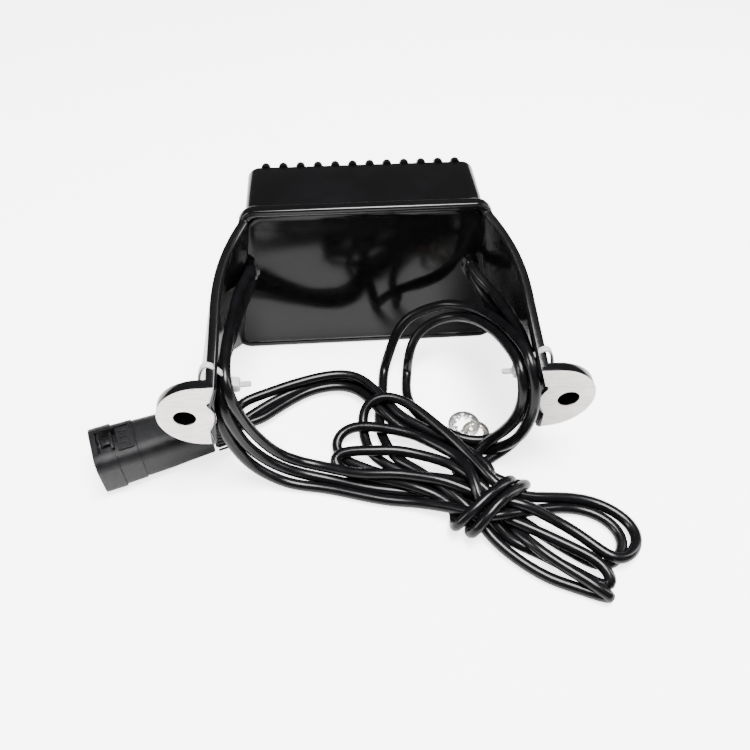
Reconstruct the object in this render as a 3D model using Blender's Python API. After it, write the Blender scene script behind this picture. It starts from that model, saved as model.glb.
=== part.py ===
"""Finned, potted power unit on two splayed legs, with tied leads, a plug and two ring terminals.

Sizes are in millimetres. +Z is up, the potted face looks towards -Y and the fins towards +Y.
"""
import math

import bmesh
import bpy
from mathutils import Vector

MM = 0.001
GAP = 0.3

# Housing: a trapezoid with its wide edge down. HALF is the half width at the top of each outline.
TAPER = 0.145
FLANGE_TOP_Z = 85.6
FLANGE_HALF_TOP = 55.0
FLANGE_DEPTH = 5.0
FLANGE_RADIUS = 8.0
RIM_TOP = 3.6
RIM_SIDE = 2.2
BOX_TOP_Z = 82.0
BOX_BOTTOM_Z = 2.0
BOX_HALF_TOP = 53.0
BOX_BACK_Y = 36.6
BOX_RADIUS = 6.0
WALL = 3.0
FLOOR_Y = 33.5
POTTING_FRONT_Y = 0.6
POTTING_BACK_Y = 14.0

# Fins on the back.
FIN_COUNT = 12
FIN_PITCH = 8.1
FIN_THICK = 3.6
FIN_DEPTH = 11.0
FIN_TOP_Z = 80.5
FIN_BOTTOM_Z = 4.0

# Legs and ears.
LEG_THICK = 4.5
LEG_SPLAY = 0.085
LEG_X0 = 65.9
LEG_TOP_HOUSING_Z = 82.0
LEG_TOP_EAR_Z = 63.2
LEG_BOTTOM_HOUSING_Z = 3.0
LEG_BOTTOM_EAR_Z = 27.0
EAR_FRONT_Y = -78.2
EAR_THICK = 4.0
EAR_ROUND_X = 71.0
EAR_RADIUS = 18.3
EAR_Z = 45.2
HOLE_X = 78.2
HOLE_RADIUS = 4.4
TIE_Y = -66.0

# Leads and plug.
WIRE_D = 3.4

# Everything is moved along Y so that the origin is under the middle of the unit.
SHIFT_Y = 15.3
PLUG_FRONT = (-122.2, -73.5)
PLUG_TURN = math.radians(18.4)


def clear_scene():
    """Remove every object, so that the script always starts from nothing."""
    for item in list(bpy.data.objects):
        bpy.data.objects.remove(item, do_unlink=True)


def new_collection(name):
    """Make a collection in the scene."""
    made = bpy.data.collections.new(name)
    bpy.context.scene.collection.children.link(made)
    return made


def material(name, colour, rough, metal=0.0):
    """Make one Principled material."""
    made = bpy.data.materials.new(name)
    made.use_nodes = True
    shader = made.node_tree.nodes["Principled BSDF"]
    shader.inputs["Base Color"].default_value = (*colour, 1.0)
    shader.inputs["Roughness"].default_value = rough
    shader.inputs["Metallic"].default_value = metal
    return made


def add_object(name, build, collection, finish=None):
    """Turn a bmesh into a named object with its faces pointing out."""
    bmesh.ops.remove_doubles(build, verts=build.verts, dist=1e-7)
    bmesh.ops.recalc_face_normals(build, faces=build.faces)
    mesh = bpy.data.meshes.new(name)
    build.to_mesh(mesh)
    build.free()
    made = bpy.data.objects.new(name, mesh)
    collection.objects.link(made)
    if finish is not None:
        made.data.materials.append(finish)
    return made


def place(point):
    """Turn a point in millimetres into the object's frame in metres."""
    return Vector((point[0], point[1] + SHIFT_Y, point[2])) * MM


def loft(rings):
    """Close a solid through rings of equal length, each a list of (x, y, z) in millimetres."""
    build = bmesh.new()
    rows = [[build.verts.new(place(point)) for point in ring] for ring in rings]
    build.faces.new(rows[0])
    build.faces.new(list(reversed(rows[-1])))
    count = len(rows[0])
    for low, high in zip(rows[:-1], rows[1:]):
        for index in range(count):
            follow = (index + 1) % count
            build.faces.new((low[follow], low[index], high[index], high[follow]))
    return build


def cuboid(low, high):
    """Make a box between two corners."""
    x0, y0, z0 = low
    x1, y1, z1 = high
    ring = [(x0, y0), (x1, y0), (x1, y1), (x0, y1)]
    return loft([[(x, y, z0) for x, y in ring], [(x, y, z1) for x, y in ring]])


def disc_ring(radius, count, centre=(0.0, 0.0)):
    """Return points round a circle."""
    step = 2.0 * math.pi / count
    return [(centre[0] + radius * math.cos(step * i), centre[1] + radius * math.sin(step * i))
            for i in range(count)]


def cylinder_y(x, z, radius, y0, y1, count=24):
    """Make a cylinder along Y."""
    ring = disc_ring(radius, count, (x, z))
    return loft([[(px, y0, pz) for px, pz in ring], [(px, y1, pz) for px, pz in ring]])


def rounded(points, radii, steps=5):
    """Round the corners of a closed outline."""
    out = []
    count = len(points)
    for index, corner in enumerate(points):
        before = Vector(points[index - 1]) - Vector(corner)
        after = Vector(points[(index + 1) % count]) - Vector(corner)
        before.normalize()
        after.normalize()
        angle = before.angle(after)
        reach = radii[index] / math.tan(angle / 2.0)
        start = Vector(corner) + before * reach
        end = Vector(corner) + after * reach
        middle = Vector(corner) + (before + after).normalized() * (radii[index] / math.sin(angle / 2.0))
        first = math.atan2(start.y - middle.y, start.x - middle.x)
        last = math.atan2(end.y - middle.y, end.x - middle.x)
        sweep = (last - first + math.pi) % (2.0 * math.pi) - math.pi
        for step in range(steps + 1):
            turn = first + sweep * step / steps
            out.append((middle.x + radii[index] * math.cos(turn), middle.y + radii[index] * math.sin(turn)))
    return out


def trapezoid(half_top, top, bottom, r_top, r_bottom):
    """Return the rounded trapezoid outline in (x, z), wide edge down."""
    half_bottom = half_top + TAPER * (top - bottom)
    corners = [(half_top, top), (-half_top, top), (-half_bottom, bottom), (half_bottom, bottom)]
    return rounded(corners, [r_top, r_top, r_bottom, r_bottom])


def slab_y(outline, y0, y1):
    """Extrude an (x, z) outline along Y."""
    return loft([[(x, y0, z) for x, z in outline], [(x, y1, z) for x, z in outline]])


def apply_boolean(target, cutter, mode):
    """Join or cut with another object, then keep the cutter as a hidden helper."""
    step = target.modifiers.new(mode.lower() + "_" + cutter.name, "BOOLEAN")
    step.operation = mode
    step.solver = "EXACT"
    step.object = cutter
    cutter.hide_render = True
    cutter.display_type = "WIRE"


def round_shade(item, angle=35.0):
    """Shade smooth with sharp edges kept."""
    item.data.shade_smooth()
    item.data.set_sharp_from_angle(angle=math.radians(angle))


def inner_leg_x(y, z):
    """Return the distance from the middle plane to the inner face of a leg."""
    return LEG_X0 - LEG_SPLAY * y - TAPER * z


def leg_solid(side):
    """Make one tapering leg as a splayed plate."""
    near = EAR_FRONT_Y + 1.0
    outline = [(2.5, LEG_TOP_HOUSING_Z - 1.0), (near, LEG_TOP_EAR_Z), (near, LEG_BOTTOM_EAR_Z)]
    outline += [(2.5, LEG_BOTTOM_HOUSING_Z)]
    inner = [(side * inner_leg_x(y, z), y, z) for y, z in outline]
    outer = [(side * (inner_leg_x(y, z) + LEG_THICK), y, z) for y, z in outline]
    return loft([inner, outer])


def ear_outline(side):
    """Return the D shape of an ear in (x, z)."""
    points = []
    for step in range(21):
        turn = math.pi / 2.0 - math.pi * step / 20.0
        points.append((EAR_ROUND_X + EAR_RADIUS * math.cos(turn), EAR_Z + EAR_RADIUS * math.sin(turn)))
    points.append((68.4, EAR_Z - EAR_RADIUS))
    points.append((64.4, EAR_Z + EAR_RADIUS))
    return [(side * x, z) for x, z in points]


def build_housing(parts, cutters, finish):
    """Make the casting: flange, box, fins, legs and ears in one piece."""
    flange = trapezoid(FLANGE_HALF_TOP, FLANGE_TOP_Z, 0.0, FLANGE_RADIUS, FLANGE_RADIUS)
    body = add_object("finned_housing", slab_y(flange, 0.0, FLANGE_DEPTH), parts, finish)
    box = trapezoid(BOX_HALF_TOP, BOX_TOP_Z, BOX_BOTTOM_Z, BOX_RADIUS, BOX_RADIUS)
    helper = add_object("box_walls", slab_y(box, FLANGE_DEPTH - 1.0, BOX_BACK_Y), cutters)
    apply_boolean(body, helper, "UNION")
    for index in range(FIN_COUNT):
        middle = (index - (FIN_COUNT - 1) / 2.0) * FIN_PITCH
        half = FIN_THICK / 2.0
        root = BOX_BACK_Y - 1.0
        tip = BOX_BACK_Y + FIN_DEPTH
        side = [(root, FIN_BOTTOM_Z), (tip - 3.0, FIN_BOTTOM_Z), (tip, FIN_BOTTOM_Z + 3.0)]
        side += [(tip, FIN_TOP_Z - 8.0), (tip - 3.0, FIN_TOP_Z - 4.0), (root + 3.4, FIN_TOP_Z)]
        side += [(root, FIN_TOP_Z)]
        inset = 0.7
        full = [(y, z) for y, z in side]
        small = fin_shoulder(side)
        rows = ((-half, small), (-half + inset, full), (half - inset, full), (half, small))
        rings = [[(middle + offset, y, z) for y, z in row] for offset, row in rows]
        helper = add_object("fin_%02d" % (index + 1), loft(rings), cutters)
        apply_boolean(body, helper, "UNION")
    for side, word in ((-1, "left"), (1, "right")):
        helper = add_object("leg_" + word, leg_solid(side), cutters)
        apply_boolean(body, helper, "UNION")
        ear = slab_y(ear_outline(side), EAR_FRONT_Y, EAR_FRONT_Y + EAR_THICK)
        helper = add_object("ear_" + word, ear, cutters)
        apply_boolean(body, helper, "UNION")
        hole = cylinder_y(side * HOLE_X, EAR_Z, HOLE_RADIUS, EAR_FRONT_Y - 2.0, EAR_FRONT_Y + 8.0, 28)
        helper = add_object("bolt_hole_" + word, hole, cutters)
        apply_boolean(body, helper, "DIFFERENCE")
        slot = cuboid((side * 67.0 - 9.0, TIE_Y - 2.5, 42.9), (side * 67.0 + 9.0, TIE_Y + 2.5, 46.1))
        helper = add_object("tie_slot_" + word, slot, cutters)
        apply_boolean(body, helper, "DIFFERENCE")
    field = trapezoid(FLANGE_HALF_TOP - RIM_SIDE, FLANGE_TOP_Z - RIM_TOP, RIM_TOP, 10.0, 6.0)
    helper = add_object("field_recess", slab_y(field, -2.0, FLANGE_DEPTH - 0.5), cutters)
    apply_boolean(body, helper, "DIFFERENCE")
    room = trapezoid(BOX_HALF_TOP - WALL, BOX_TOP_Z - WALL, BOX_BOTTOM_Z + WALL, 5.0, 5.0)
    helper = add_object("cavity", slab_y(room, -2.0, FLOOR_Y), cutters)
    apply_boolean(body, helper, "DIFFERENCE")
    return body


def fin_shoulder(side):
    """Shrink a fin's side outline a little, so that its long edges come out rounded."""
    shrunk = []
    for y, z in side:
        shrunk.append((y, z - 0.7 if z > 40.0 else z + 0.7))
    shrunk = [(y if y < BOX_BACK_Y else y - 0.6, z) for y, z in shrunk]
    return shrunk


def build_potting(parts, cutters, finish):
    """Make the potting: a wide skin in the rim and a thick block behind it."""
    shift = GAP + 0.1
    wide = trapezoid(FLANGE_HALF_TOP - RIM_SIDE - shift, FLANGE_TOP_Z - RIM_TOP - shift,
                     RIM_TOP + shift, 9.6, 5.6)
    body = add_object("potting_block", slab_y(wide, POTTING_FRONT_Y, FLANGE_DEPTH - 0.8), parts, finish)
    deep = trapezoid(BOX_HALF_TOP - WALL - shift, BOX_TOP_Z - WALL - shift, BOX_BOTTOM_Z + WALL + shift,
                     4.6, 4.6)
    helper = add_object("potting_deep", slab_y(deep, 2.0, POTTING_BACK_Y), cutters)
    apply_boolean(body, helper, "UNION")
    return body


def build_inside(parts, cutters, board, plastic, steel, pad):
    """Make what the potting hides: rectifier modules, their clamp, a board and a capacitor."""
    add_object("thermal_pad", cuboid((-40.0, 32.3, 41.0), (40.0, 33.2, 65.0)), parts, pad)
    for index in range(4):
        middle = -30.0 + 20.0 * index
        low = (middle - 8.0, 27.0, 43.0)
        high = (middle + 8.0, 32.0, 63.0)
        add_object("rectifier_module_%d" % (index + 1), cuboid(low, high), parts, plastic)
    bar = add_object("clamp_bar", cuboid((-46.0, 24.0, 49.0), (46.0, 26.7, 57.0)), parts, steel)
    for side, word in ((-1, "left"), (1, "right")):
        hole = cylinder_y(side * 43.0, 53.0, 1.9, 22.0, 29.0, 16)
        helper = add_object("clamp_hole_" + word, hole, cutters)
        apply_boolean(bar, helper, "DIFFERENCE")
        screw = add_object("clamp_screw_" + word, cylinder_y(side * 43.0, 53.0, 3.0, 21.2, 23.7, 16),
                           parts, steel)
        shank = cylinder_y(side * 43.0, 53.0, 1.5, 23.0, 33.2, 12)
        helper = add_object("clamp_shank_" + word, shank, cutters)
        apply_boolean(screw, helper, "UNION")
    add_object("circuit_board", cuboid((-46.0, 16.5, 9.0), (46.0, 18.1, 37.0)), parts, board)
    add_object("control_chip", cuboid((-20.0, 18.4, 17.0), (-8.0, 21.0, 29.0)), parts, plastic)
    ring = disc_ring(6.0, 20, (22.0, 25.2))
    can = loft([[(x, y, 12.0) for x, y in ring], [(x, y, 31.0) for x, y in ring]])
    round_shade(add_object("filter_capacitor", can, parts, steel))


def build_sleeves(parts, finish):
    """Make the short sleeves where the leads leave the potting."""
    for side, word, x, z in ((-1, "left", -52.0, 52.5), (1, "right", 49.0, 50.0)):
        rings = []
        for y, radius in ((POTTING_FRONT_Y - GAP, 4.4), (-0.6, 4.2), (-2.2, 3.7)):
            rings.append([(px, y, pz) for px, pz in disc_ring(radius, 20, (x, z))])
        round_shade(add_object("exit_sleeve_" + word, loft(rings), parts, finish))


def build_tie(parts, cutters, side, word, finish):
    """Make one cable tie: a strap loop round the leg and the leads, its head and its cut tail."""
    route = [(70.8, 44.5), (70.2, 52.0), (68.6, 63.0), (66.8, 66.9), (63.5, 67.6), (60.0, 66.6)]
    route += [(57.4, 63.0), (56.6, 56.0), (57.4, 49.6), (60.0, 45.6), (64.0, 44.5)]
    count = len(route)
    centre = Vector((sum(p[0] for p in route) / count, sum(p[1] for p in route) / count))
    rings = []
    for offset in (-0.6, 0.6):
        loop = []
        for x, z in route:
            away = (Vector((x, z)) - centre).normalized()
            loop.append((x + away.x * offset, z + away.y * offset))
        rings.append(loop)
    build = bmesh.new()
    rows = []
    for loop, y in ((rings[0], -1.9), (rings[1], -1.9), (rings[1], 1.9), (rings[0], 1.9)):
        rows.append([build.verts.new(place((side * x, TIE_Y + y, z))) for x, z in loop])
    rows.append(rows[0])
    for low, high in zip(rows[:-1], rows[1:]):
        for index in range(count):
            follow = (index + 1) % count
            build.faces.new((low[index], low[follow], high[follow], high[index]))
    tie = add_object("cable_tie_" + word, build, parts, finish)
    x0, x1 = sorted((side * 52.0, side * 56.5))
    head = add_object("tie_head_" + word, cuboid((x0, TIE_Y - 2.9, 49.5), (x1, TIE_Y + 2.9, 55.0)), cutters)
    apply_boolean(tie, head, "UNION")
    x0, x1 = sorted((side * 47.4, side * 52.4))
    tail = add_object("tie_tail_" + word, cuboid((x0, TIE_Y - 1.7, 51.4), (x1, TIE_Y + 1.7, 52.6)), cutters)
    apply_boolean(tie, tail, "UNION")


def plug_point(along, across, up):
    """Turn plug coordinates into object coordinates."""
    cos = math.cos(PLUG_TURN)
    sin = math.sin(PLUG_TURN)
    return (PLUG_FRONT[0] + along * cos - across * sin, PLUG_FRONT[1] + along * sin + across * cos, up)


def plug_section(along, half_width, low, high, corner):
    """Return one rounded rectangle of the plug."""
    box = [(half_width, high), (-half_width, high), (-half_width, low), (half_width, low)]
    return [plug_point(along, a, b) for a, b in rounded(box, [corner] * 4, 3)]


def build_plug(parts, cutters, plastic, rubber, brass):
    """Make the plug shell, its seal, its rear lock and two terminals."""
    shape = ((0.0, 10.0, 0.0, 19.6, 3.0), (12.0, 10.0, 0.0, 19.6, 3.0), (12.4, 9.4, 0.5, 19.0, 3.0),
             (30.0, 9.2, 0.6, 18.6, 3.0), (36.0, 8.2, 1.0, 16.6, 3.0), (44.0, 7.6, 1.0, 15.4, 3.0))
    shell = add_object("plug_housing", loft([plug_section(*row) for row in shape]), parts, plastic)
    hollow = ((-2.0, 7.8, 2.6, 17.0, 2.0), (17.0, 7.8, 2.6, 17.0, 2.0))
    helper = add_object("plug_socket", loft([plug_section(*row) for row in hollow]), cutters)
    apply_boolean(shell, helper, "DIFFERENCE")
    window = [plug_point(a, b, 14.0) for a, b in ((3.0, -4.5), (11.0, -4.5), (11.0, 4.5), (3.0, 4.5))]
    upper = [plug_point(a, b, 22.0) for a, b in ((3.0, -4.5), (11.0, -4.5), (11.0, 4.5), (3.0, 4.5))]
    helper = add_object("plug_window", loft([window, upper]), cutters)
    apply_boolean(shell, helper, "DIFFERENCE")
    seal = ((44.3, 6.6, 1.6, 13.6, 2.0), (47.4, 6.6, 1.6, 13.6, 2.0))
    add_object("plug_seal", loft([plug_section(*row) for row in seal]), parts, rubber)
    for index, across in enumerate((-3.2, 3.2)):
        blade = ((5.0, 0.9, 8.9, 10.7, 0.3), (16.7, 0.9, 8.9, 10.7, 0.3))
        rings = []
        for along, half, low, high, corner in blade:
            box = [(across + half, high), (across - half, high), (across - half, low), (across + half, low)]
            rings.append([plug_point(along, a, b) for a, b in rounded(box, [corner] * 4, 2)])
        add_object("plug_terminal_%d" % (index + 1), loft(rings), parts, brass)
    side = [(44.6, 15.8), (57.0, 15.8), (57.0, 9.4), (58.8, 9.4), (58.8, 17.6), (44.6, 17.6)]
    near = [plug_point(along, -7.4, up) for along, up in side]
    far = [plug_point(along, 7.4, up) for along, up in side]
    add_object("plug_rear_lock", loft([near, far]), parts, plastic)


def ring_plate(name, centre, radius, hole, low, high, teeth, parts, finish):
    """Make a flat ring terminal, toothed inside when teeth is not zero."""
    count = 48
    outer = disc_ring(radius, count, centre)
    inner = []
    for index in range(count):
        turn = 2.0 * math.pi * index / count
        reach = hole
        if teeth and (index * teeth // count) * count / teeth + count / teeth / 2.0 > index:
            reach = hole - 1.3
        inner.append((centre[0] + reach * math.cos(turn), centre[1] + reach * math.sin(turn)))
    build = bmesh.new()
    rows = []
    for loop, z in ((outer, low), (outer, high), (inner, high), (inner, low)):
        rows.append([build.verts.new(place((x, y, z))) for x, y in loop])
    rows.append(rows[0])
    for low_row, high_row in zip(rows[:-1], rows[1:]):
        for index in range(count):
            follow = (index + 1) % count
            build.faces.new((low_row[index], low_row[follow], high_row[follow], high_row[index]))
    return add_object(name, build, parts, finish)


def smooth_route(points, spacing=6.5):
    """Return evenly spaced points along a smooth curve through the route points."""
    knots = [Vector(points[0])] + [Vector(p) for p in points] + [Vector(points[-1])]
    dense = []
    for index in range(1, len(knots) - 2):
        a, b, c, d = knots[index - 1:index + 3]
        for step in range(12):
            t = step / 12.0
            dense.append(0.5 * ((2 * b) + (c - a) * t + (2 * a - 5 * b + 4 * c - d) * t * t
                                + (3 * b - a - 3 * c + d) * t * t * t))
    dense.append(knots[-2])
    total = sum((q - p).length for p, q in zip(dense[:-1], dense[1:]))
    count = max(3, int(round(total / spacing)))
    out = [dense[0]]
    walked = 0.0
    for p, q in zip(dense[:-1], dense[1:]):
        stretch = (q - p).length
        while len(out) < count and walked + stretch >= total * len(out) / count:
            share = (total * len(out) / count - walked) / max(stretch, 1e-9)
            out.append(p.lerp(q, share))
        walked += stretch
    out.append(dense[-1])
    return out


def build_tube(name, points, parts, finish, diameter=WIRE_D):
    """Make a round wire along a route."""
    route = smooth_route(points)
    curve = bpy.data.curves.new(name, "CURVE")
    curve.dimensions = "3D"
    curve.bevel_depth = diameter / 2.0 * MM
    curve.bevel_resolution = 2
    curve.use_fill_caps = True
    spline = curve.splines.new("POLY")
    spline.points.add(len(route) - 1)
    for slot, point in zip(spline.points, route):
        slot.co = (*place(point), 1.0)
    made = bpy.data.objects.new(name, curve)
    parts.objects.link(made)
    curve.materials.append(finish)
    return made


LEFT_1 = [(-52.0, -2.9, 54.4), (-52.6, -7.0, 54.4), (-56.2, -18.0, 54.6), (-58.0, -34.0, 56.0),
          (-59.3, -50.0, 58.2), (-60.2, -62.0, 60.2), (-61.4, -70.5, 58.4), (-62.0, -72.2, 50.0),
          (-61.0, -71.8, 37.0), (-59.2, -70.0, 24.0), (-54.8, -71.4, 13.0), (-46.0, -77.6, 6.4),
          (-37.0, -83.0, 5.2), (-29.5, -86.2, 5.2), (-24.4, -87.0, 5.2)]
LEFT_2 = [(-52.0, -2.9, 50.4), (-52.6, -7.0, 50.2), (-55.8, -18.0, 50.2), (-57.6, -34.0, 51.2),
          (-58.9, -50.0, 53.2), (-59.8, -60.0, 54.8), (-59.7, -68.6, 53.8), (-58.0, -72.6, 47.6),
          (-56.4, -71.2, 38.0), (-54.2, -66.6, 26.0), (-50.6, -66.0, 14.6), (-43.4, -71.8, 8.0),
          (-36.0, -77.6, 5.2), (-29.5, -81.4, 5.2), (-24.5, -82.0, 5.2)]
RIGHT_1 = [(49.0, -3.1, 52.0), (50.0, -7.0, 51.8), (55.6, -18.0, 50.2), (58.4, -32.0, 50.6),
           (59.4, -46.0, 54.2), (60.0, -60.0, 58.8), (61.2, -70.5, 58.4), (62.0, -73.0, 50.0),
           (61.6, -73.0, 37.0), (61.0, -75.0, 24.0), (57.6, -80.4, 13.6), (53.2, -86.7, 6.6), (49.4, -89.3, 6.0)]
RIGHT_2 = [(49.0, -3.1, 48.0), (50.0, -7.0, 47.4), (55.0, -18.0, 45.0), (57.8, -32.0, 45.6),
           (59.0, -46.0, 49.4), (59.8, -58.0, 53.6), (59.7, -68.6, 53.8), (58.0, -72.6, 47.6),
           (57.4, -71.4, 37.0), (56.8, -70.8, 24.0), (54.2, -76.0, 13.2), (50.1, -82.2, 6.4), (46.3, -84.8, 6.0)]
LOOP_1 = [(8.0, -40.7, 3.0), (8.0, -32.0, 3.0), (9.4, -20.0, 6.6), (13.0, -10.0, 14.0), (20.0, -5.6, 21.6),
          (31.0, -4.8, 28.0), (43.0, -5.6, 31.0), (52.0, -10.0, 32.4), (56.8, -20.0, 35.0),
          (57.4, -34.0, 38.0), (57.0, -48.0, 40.6), (56.2, -57.0, 40.6), (54.8, -61.4, 35.4),
          (53.4, -64.0, 27.0), (51.6, -68.6, 16.5), (48.6, -74.6, 9.0), (46.7, -77.2, 6.3), (42.9, -79.8, 6.0)]
LOOP_2 = [(15.9, -45.6, 3.0), (18.8, -42.1, 3.0), (19.6, -34.0, 4.4), (21.4, -22.0, 9.6), (25.0, -14.0, 16.0),
          (31.0, -11.0, 22.0), (38.0, -10.4, 25.4), (45.4, -12.0, 27.0), (51.0, -17.0, 28.0),
          (53.6, -26.0, 30.6), (53.6, -38.0, 33.0), (52.0, -49.0, 34.0), (50.2, -55.6, 31.0),
          (49.2, -59.4, 24.0), (47.4, -64.4, 14.6), (45.4, -69.4, 8.2), (43.2, -72.3, 6.4), (39.4, -74.9, 6.0)]


def build_leads(parts, black, metals):
    """Make every free stretch of lead, the tied hank and the two ring terminals' leads."""
    build_tube("lead_left_1", LEFT_1, parts, black)
    build_tube("lead_left_2", LEFT_2, parts, black)
    build_tube("lead_right_1", RIGHT_1, parts, black)
    build_tube("lead_right_2", RIGHT_2, parts, black)
    build_tube("loop_lead_1", LOOP_1, parts, black)
    build_tube("loop_lead_2", LOOP_2, parts, black)
    for index, across in enumerate((-2.2, 2.2)):
        start = plug_point(47.7, across, 5.6)
        middle = plug_point(55.0, across, 5.6)
        route = [start, middle, (-60.4 - across, -53.0 + across, 5.2), (-51.0 - across, -42.0 + across, 4.2)]
        route += [(-40.0, -34.0 + across, 3.4), (-28.0, -29.6 + across, 3.2), (-16.0, -28.6 + across, 3.2)]
        route += [(-7.0 + across, -30.6 + across, 3.0), (-2.0 + across, -35.4, 3.0), (-1.2 + across, -40.7, 3.0)]
        build_tube("plug_lead_%d" % (index + 1), route, parts, black)
    outline = [(-23.8, -91.0), (-23.8, -76.0), (-22.0, -62.0), (-12.0, -46.0), (-6.0, -41.3), (10.0, -41.3)]
    outline += [(18.0, -48.1), (30.0, -62.0), (49.8, -91.2), (62.0, -92.0), (86.0, -96.0), (102.0, -104.0)]
    outline += [(106.0, -118.0), (102.0, -134.0), (92.0, -151.0), (84.0, -148.0), (66.0, -136.0)]
    outline += [(48.0, -128.0), (34.0, -116.0), (14.0, -102.0)]
    rings = []
    for z, pull in ((0.0, 0.965), (2.5, 1.0), (9.5, 1.0), (12.0, 0.965)):
        rings.append([(30.0 + (x - 30.0) * pull, -88.0 + (y + 88.0) * pull, z) for x, y in outline])
    add_object("tied_hank", loft(rings), parts, black)
    ring_plate("ring_terminal_star", (42.6, -57.0), 7.4, 5.0, 1.2, 2.2, 8, parts, metals["zinc"])
    ring_plate("ring_terminal_plain", (47.6, -61.0), 6.4, 3.6, 0.0, 0.9, 0, parts, metals["tin"])
    build_tube("ring_sleeve_star", [(37.8, -63.4, 2.3), (36.3, -65.4, 2.3), (34.9, -67.3, 2.3)], parts, black, 4.0)
    build_tube("ring_sleeve_plain", [(43.5, -66.5, 2.3), (41.0, -69.8, 2.3), (38.6, -73.0, 2.3)], parts, black, 4.0)


def main():
    """Build the whole object."""
    clear_scene()
    parts = new_collection("brake_controller_unit")
    cutters = new_collection("cutters")
    paint = material("gloss_black_paint", (0.012, 0.012, 0.013), 0.18)
    potting = material("black_potting", (0.01, 0.01, 0.011), 0.05)
    plastic = material("moulded_plastic", (0.03, 0.03, 0.032), 0.5)
    nylon = material("white_nylon", (0.75, 0.76, 0.74), 0.45)
    vinyl = material("black_vinyl", (0.012, 0.012, 0.012), 0.25)
    rubber = material("seal_rubber", (0.25, 0.05, 0.03), 0.6)
    board = material("board_laminate", (0.02, 0.12, 0.05), 0.5)
    steel = material("plated_steel", (0.55, 0.55, 0.56), 0.35, 1.0)
    tin = material("tinned_copper", (0.62, 0.61, 0.58), 0.3, 1.0)
    zinc = material("zinc_plate", (0.5, 0.5, 0.49), 0.4, 1.0)
    pad = material("thermal_pad_grey", (0.4, 0.42, 0.45), 0.8)
    brass = material("plug_brass", (0.7, 0.55, 0.25), 0.3, 1.0)
    build_housing(parts, cutters, paint)
    build_potting(parts, cutters, potting)
    build_inside(parts, cutters, board, plastic, steel, pad)
    build_sleeves(parts, vinyl)
    build_tie(parts, cutters, -1, "left", nylon)
    build_tie(parts, cutters, 1, "right", nylon)
    build_plug(parts, cutters, plastic, rubber, brass)
    build_leads(parts, vinyl, {"zinc": zinc, "tin": tin})


main()
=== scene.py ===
"""Looks for a finned, potted power unit with tied leads, a plug and two ring terminals.

Sizes are in millimetres in the part's own frame; place() turns them into metres. +Z is up, the
potted face looks towards -Y and the fins towards +Y.
"""

import logging
import math
from dataclasses import dataclass
from enum import Enum
from typing import Iterable, Optional, Sequence, Union

import bmesh
import bpy
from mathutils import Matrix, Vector
from mathutils.kdtree import KDTree


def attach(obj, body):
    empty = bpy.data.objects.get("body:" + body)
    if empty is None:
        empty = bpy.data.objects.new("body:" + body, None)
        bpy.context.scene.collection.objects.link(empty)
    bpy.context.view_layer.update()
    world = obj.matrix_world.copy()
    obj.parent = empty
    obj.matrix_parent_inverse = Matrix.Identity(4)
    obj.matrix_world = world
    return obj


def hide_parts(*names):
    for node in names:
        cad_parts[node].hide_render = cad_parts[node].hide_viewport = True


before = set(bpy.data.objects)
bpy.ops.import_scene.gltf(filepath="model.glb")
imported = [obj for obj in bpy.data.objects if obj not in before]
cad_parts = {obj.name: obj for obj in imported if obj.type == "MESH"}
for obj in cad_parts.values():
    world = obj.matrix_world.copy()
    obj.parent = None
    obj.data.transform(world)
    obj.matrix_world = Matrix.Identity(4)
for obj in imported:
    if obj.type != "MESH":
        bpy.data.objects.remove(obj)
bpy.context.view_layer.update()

MM = 0.001
SHIFT_Y = 15.3
TAPER = 0.145
WIRE_D = 4.8
LOWEST = WIRE_D / 2.0 + 0.05
NOISE_ROUGHNESS = 0.55
BUMP_DEPTH = 0.0004
EVEN = (1.0, 1.0, 1.0)
UNIT = "unit"
LOCK = "rear_lock"
LOG = logging.getLogger("brake_controller_unit")

Point = tuple[float, float, float]
Outline = list[tuple[float, float]]
Number = Union[float, "Shade"]


class Grain(Enum):
    """The small-scale pattern of a surface."""

    PEEL = "orange peel of sprayed enamel"
    WAVES = "slow waves of poured resin"
    LINES = "parallel milling marks"
    PEBBLE = "fine moulded texture"
    SPECKLE = "mottled plating"


class Side(Enum):
    """Which leg a piece belongs to, with the sign of its X."""

    LEFT = -1
    RIGHT = 1

    @property
    def word(self) -> str:
        """Return the side's name for use in piece names."""
        return self.name.lower()


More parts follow.
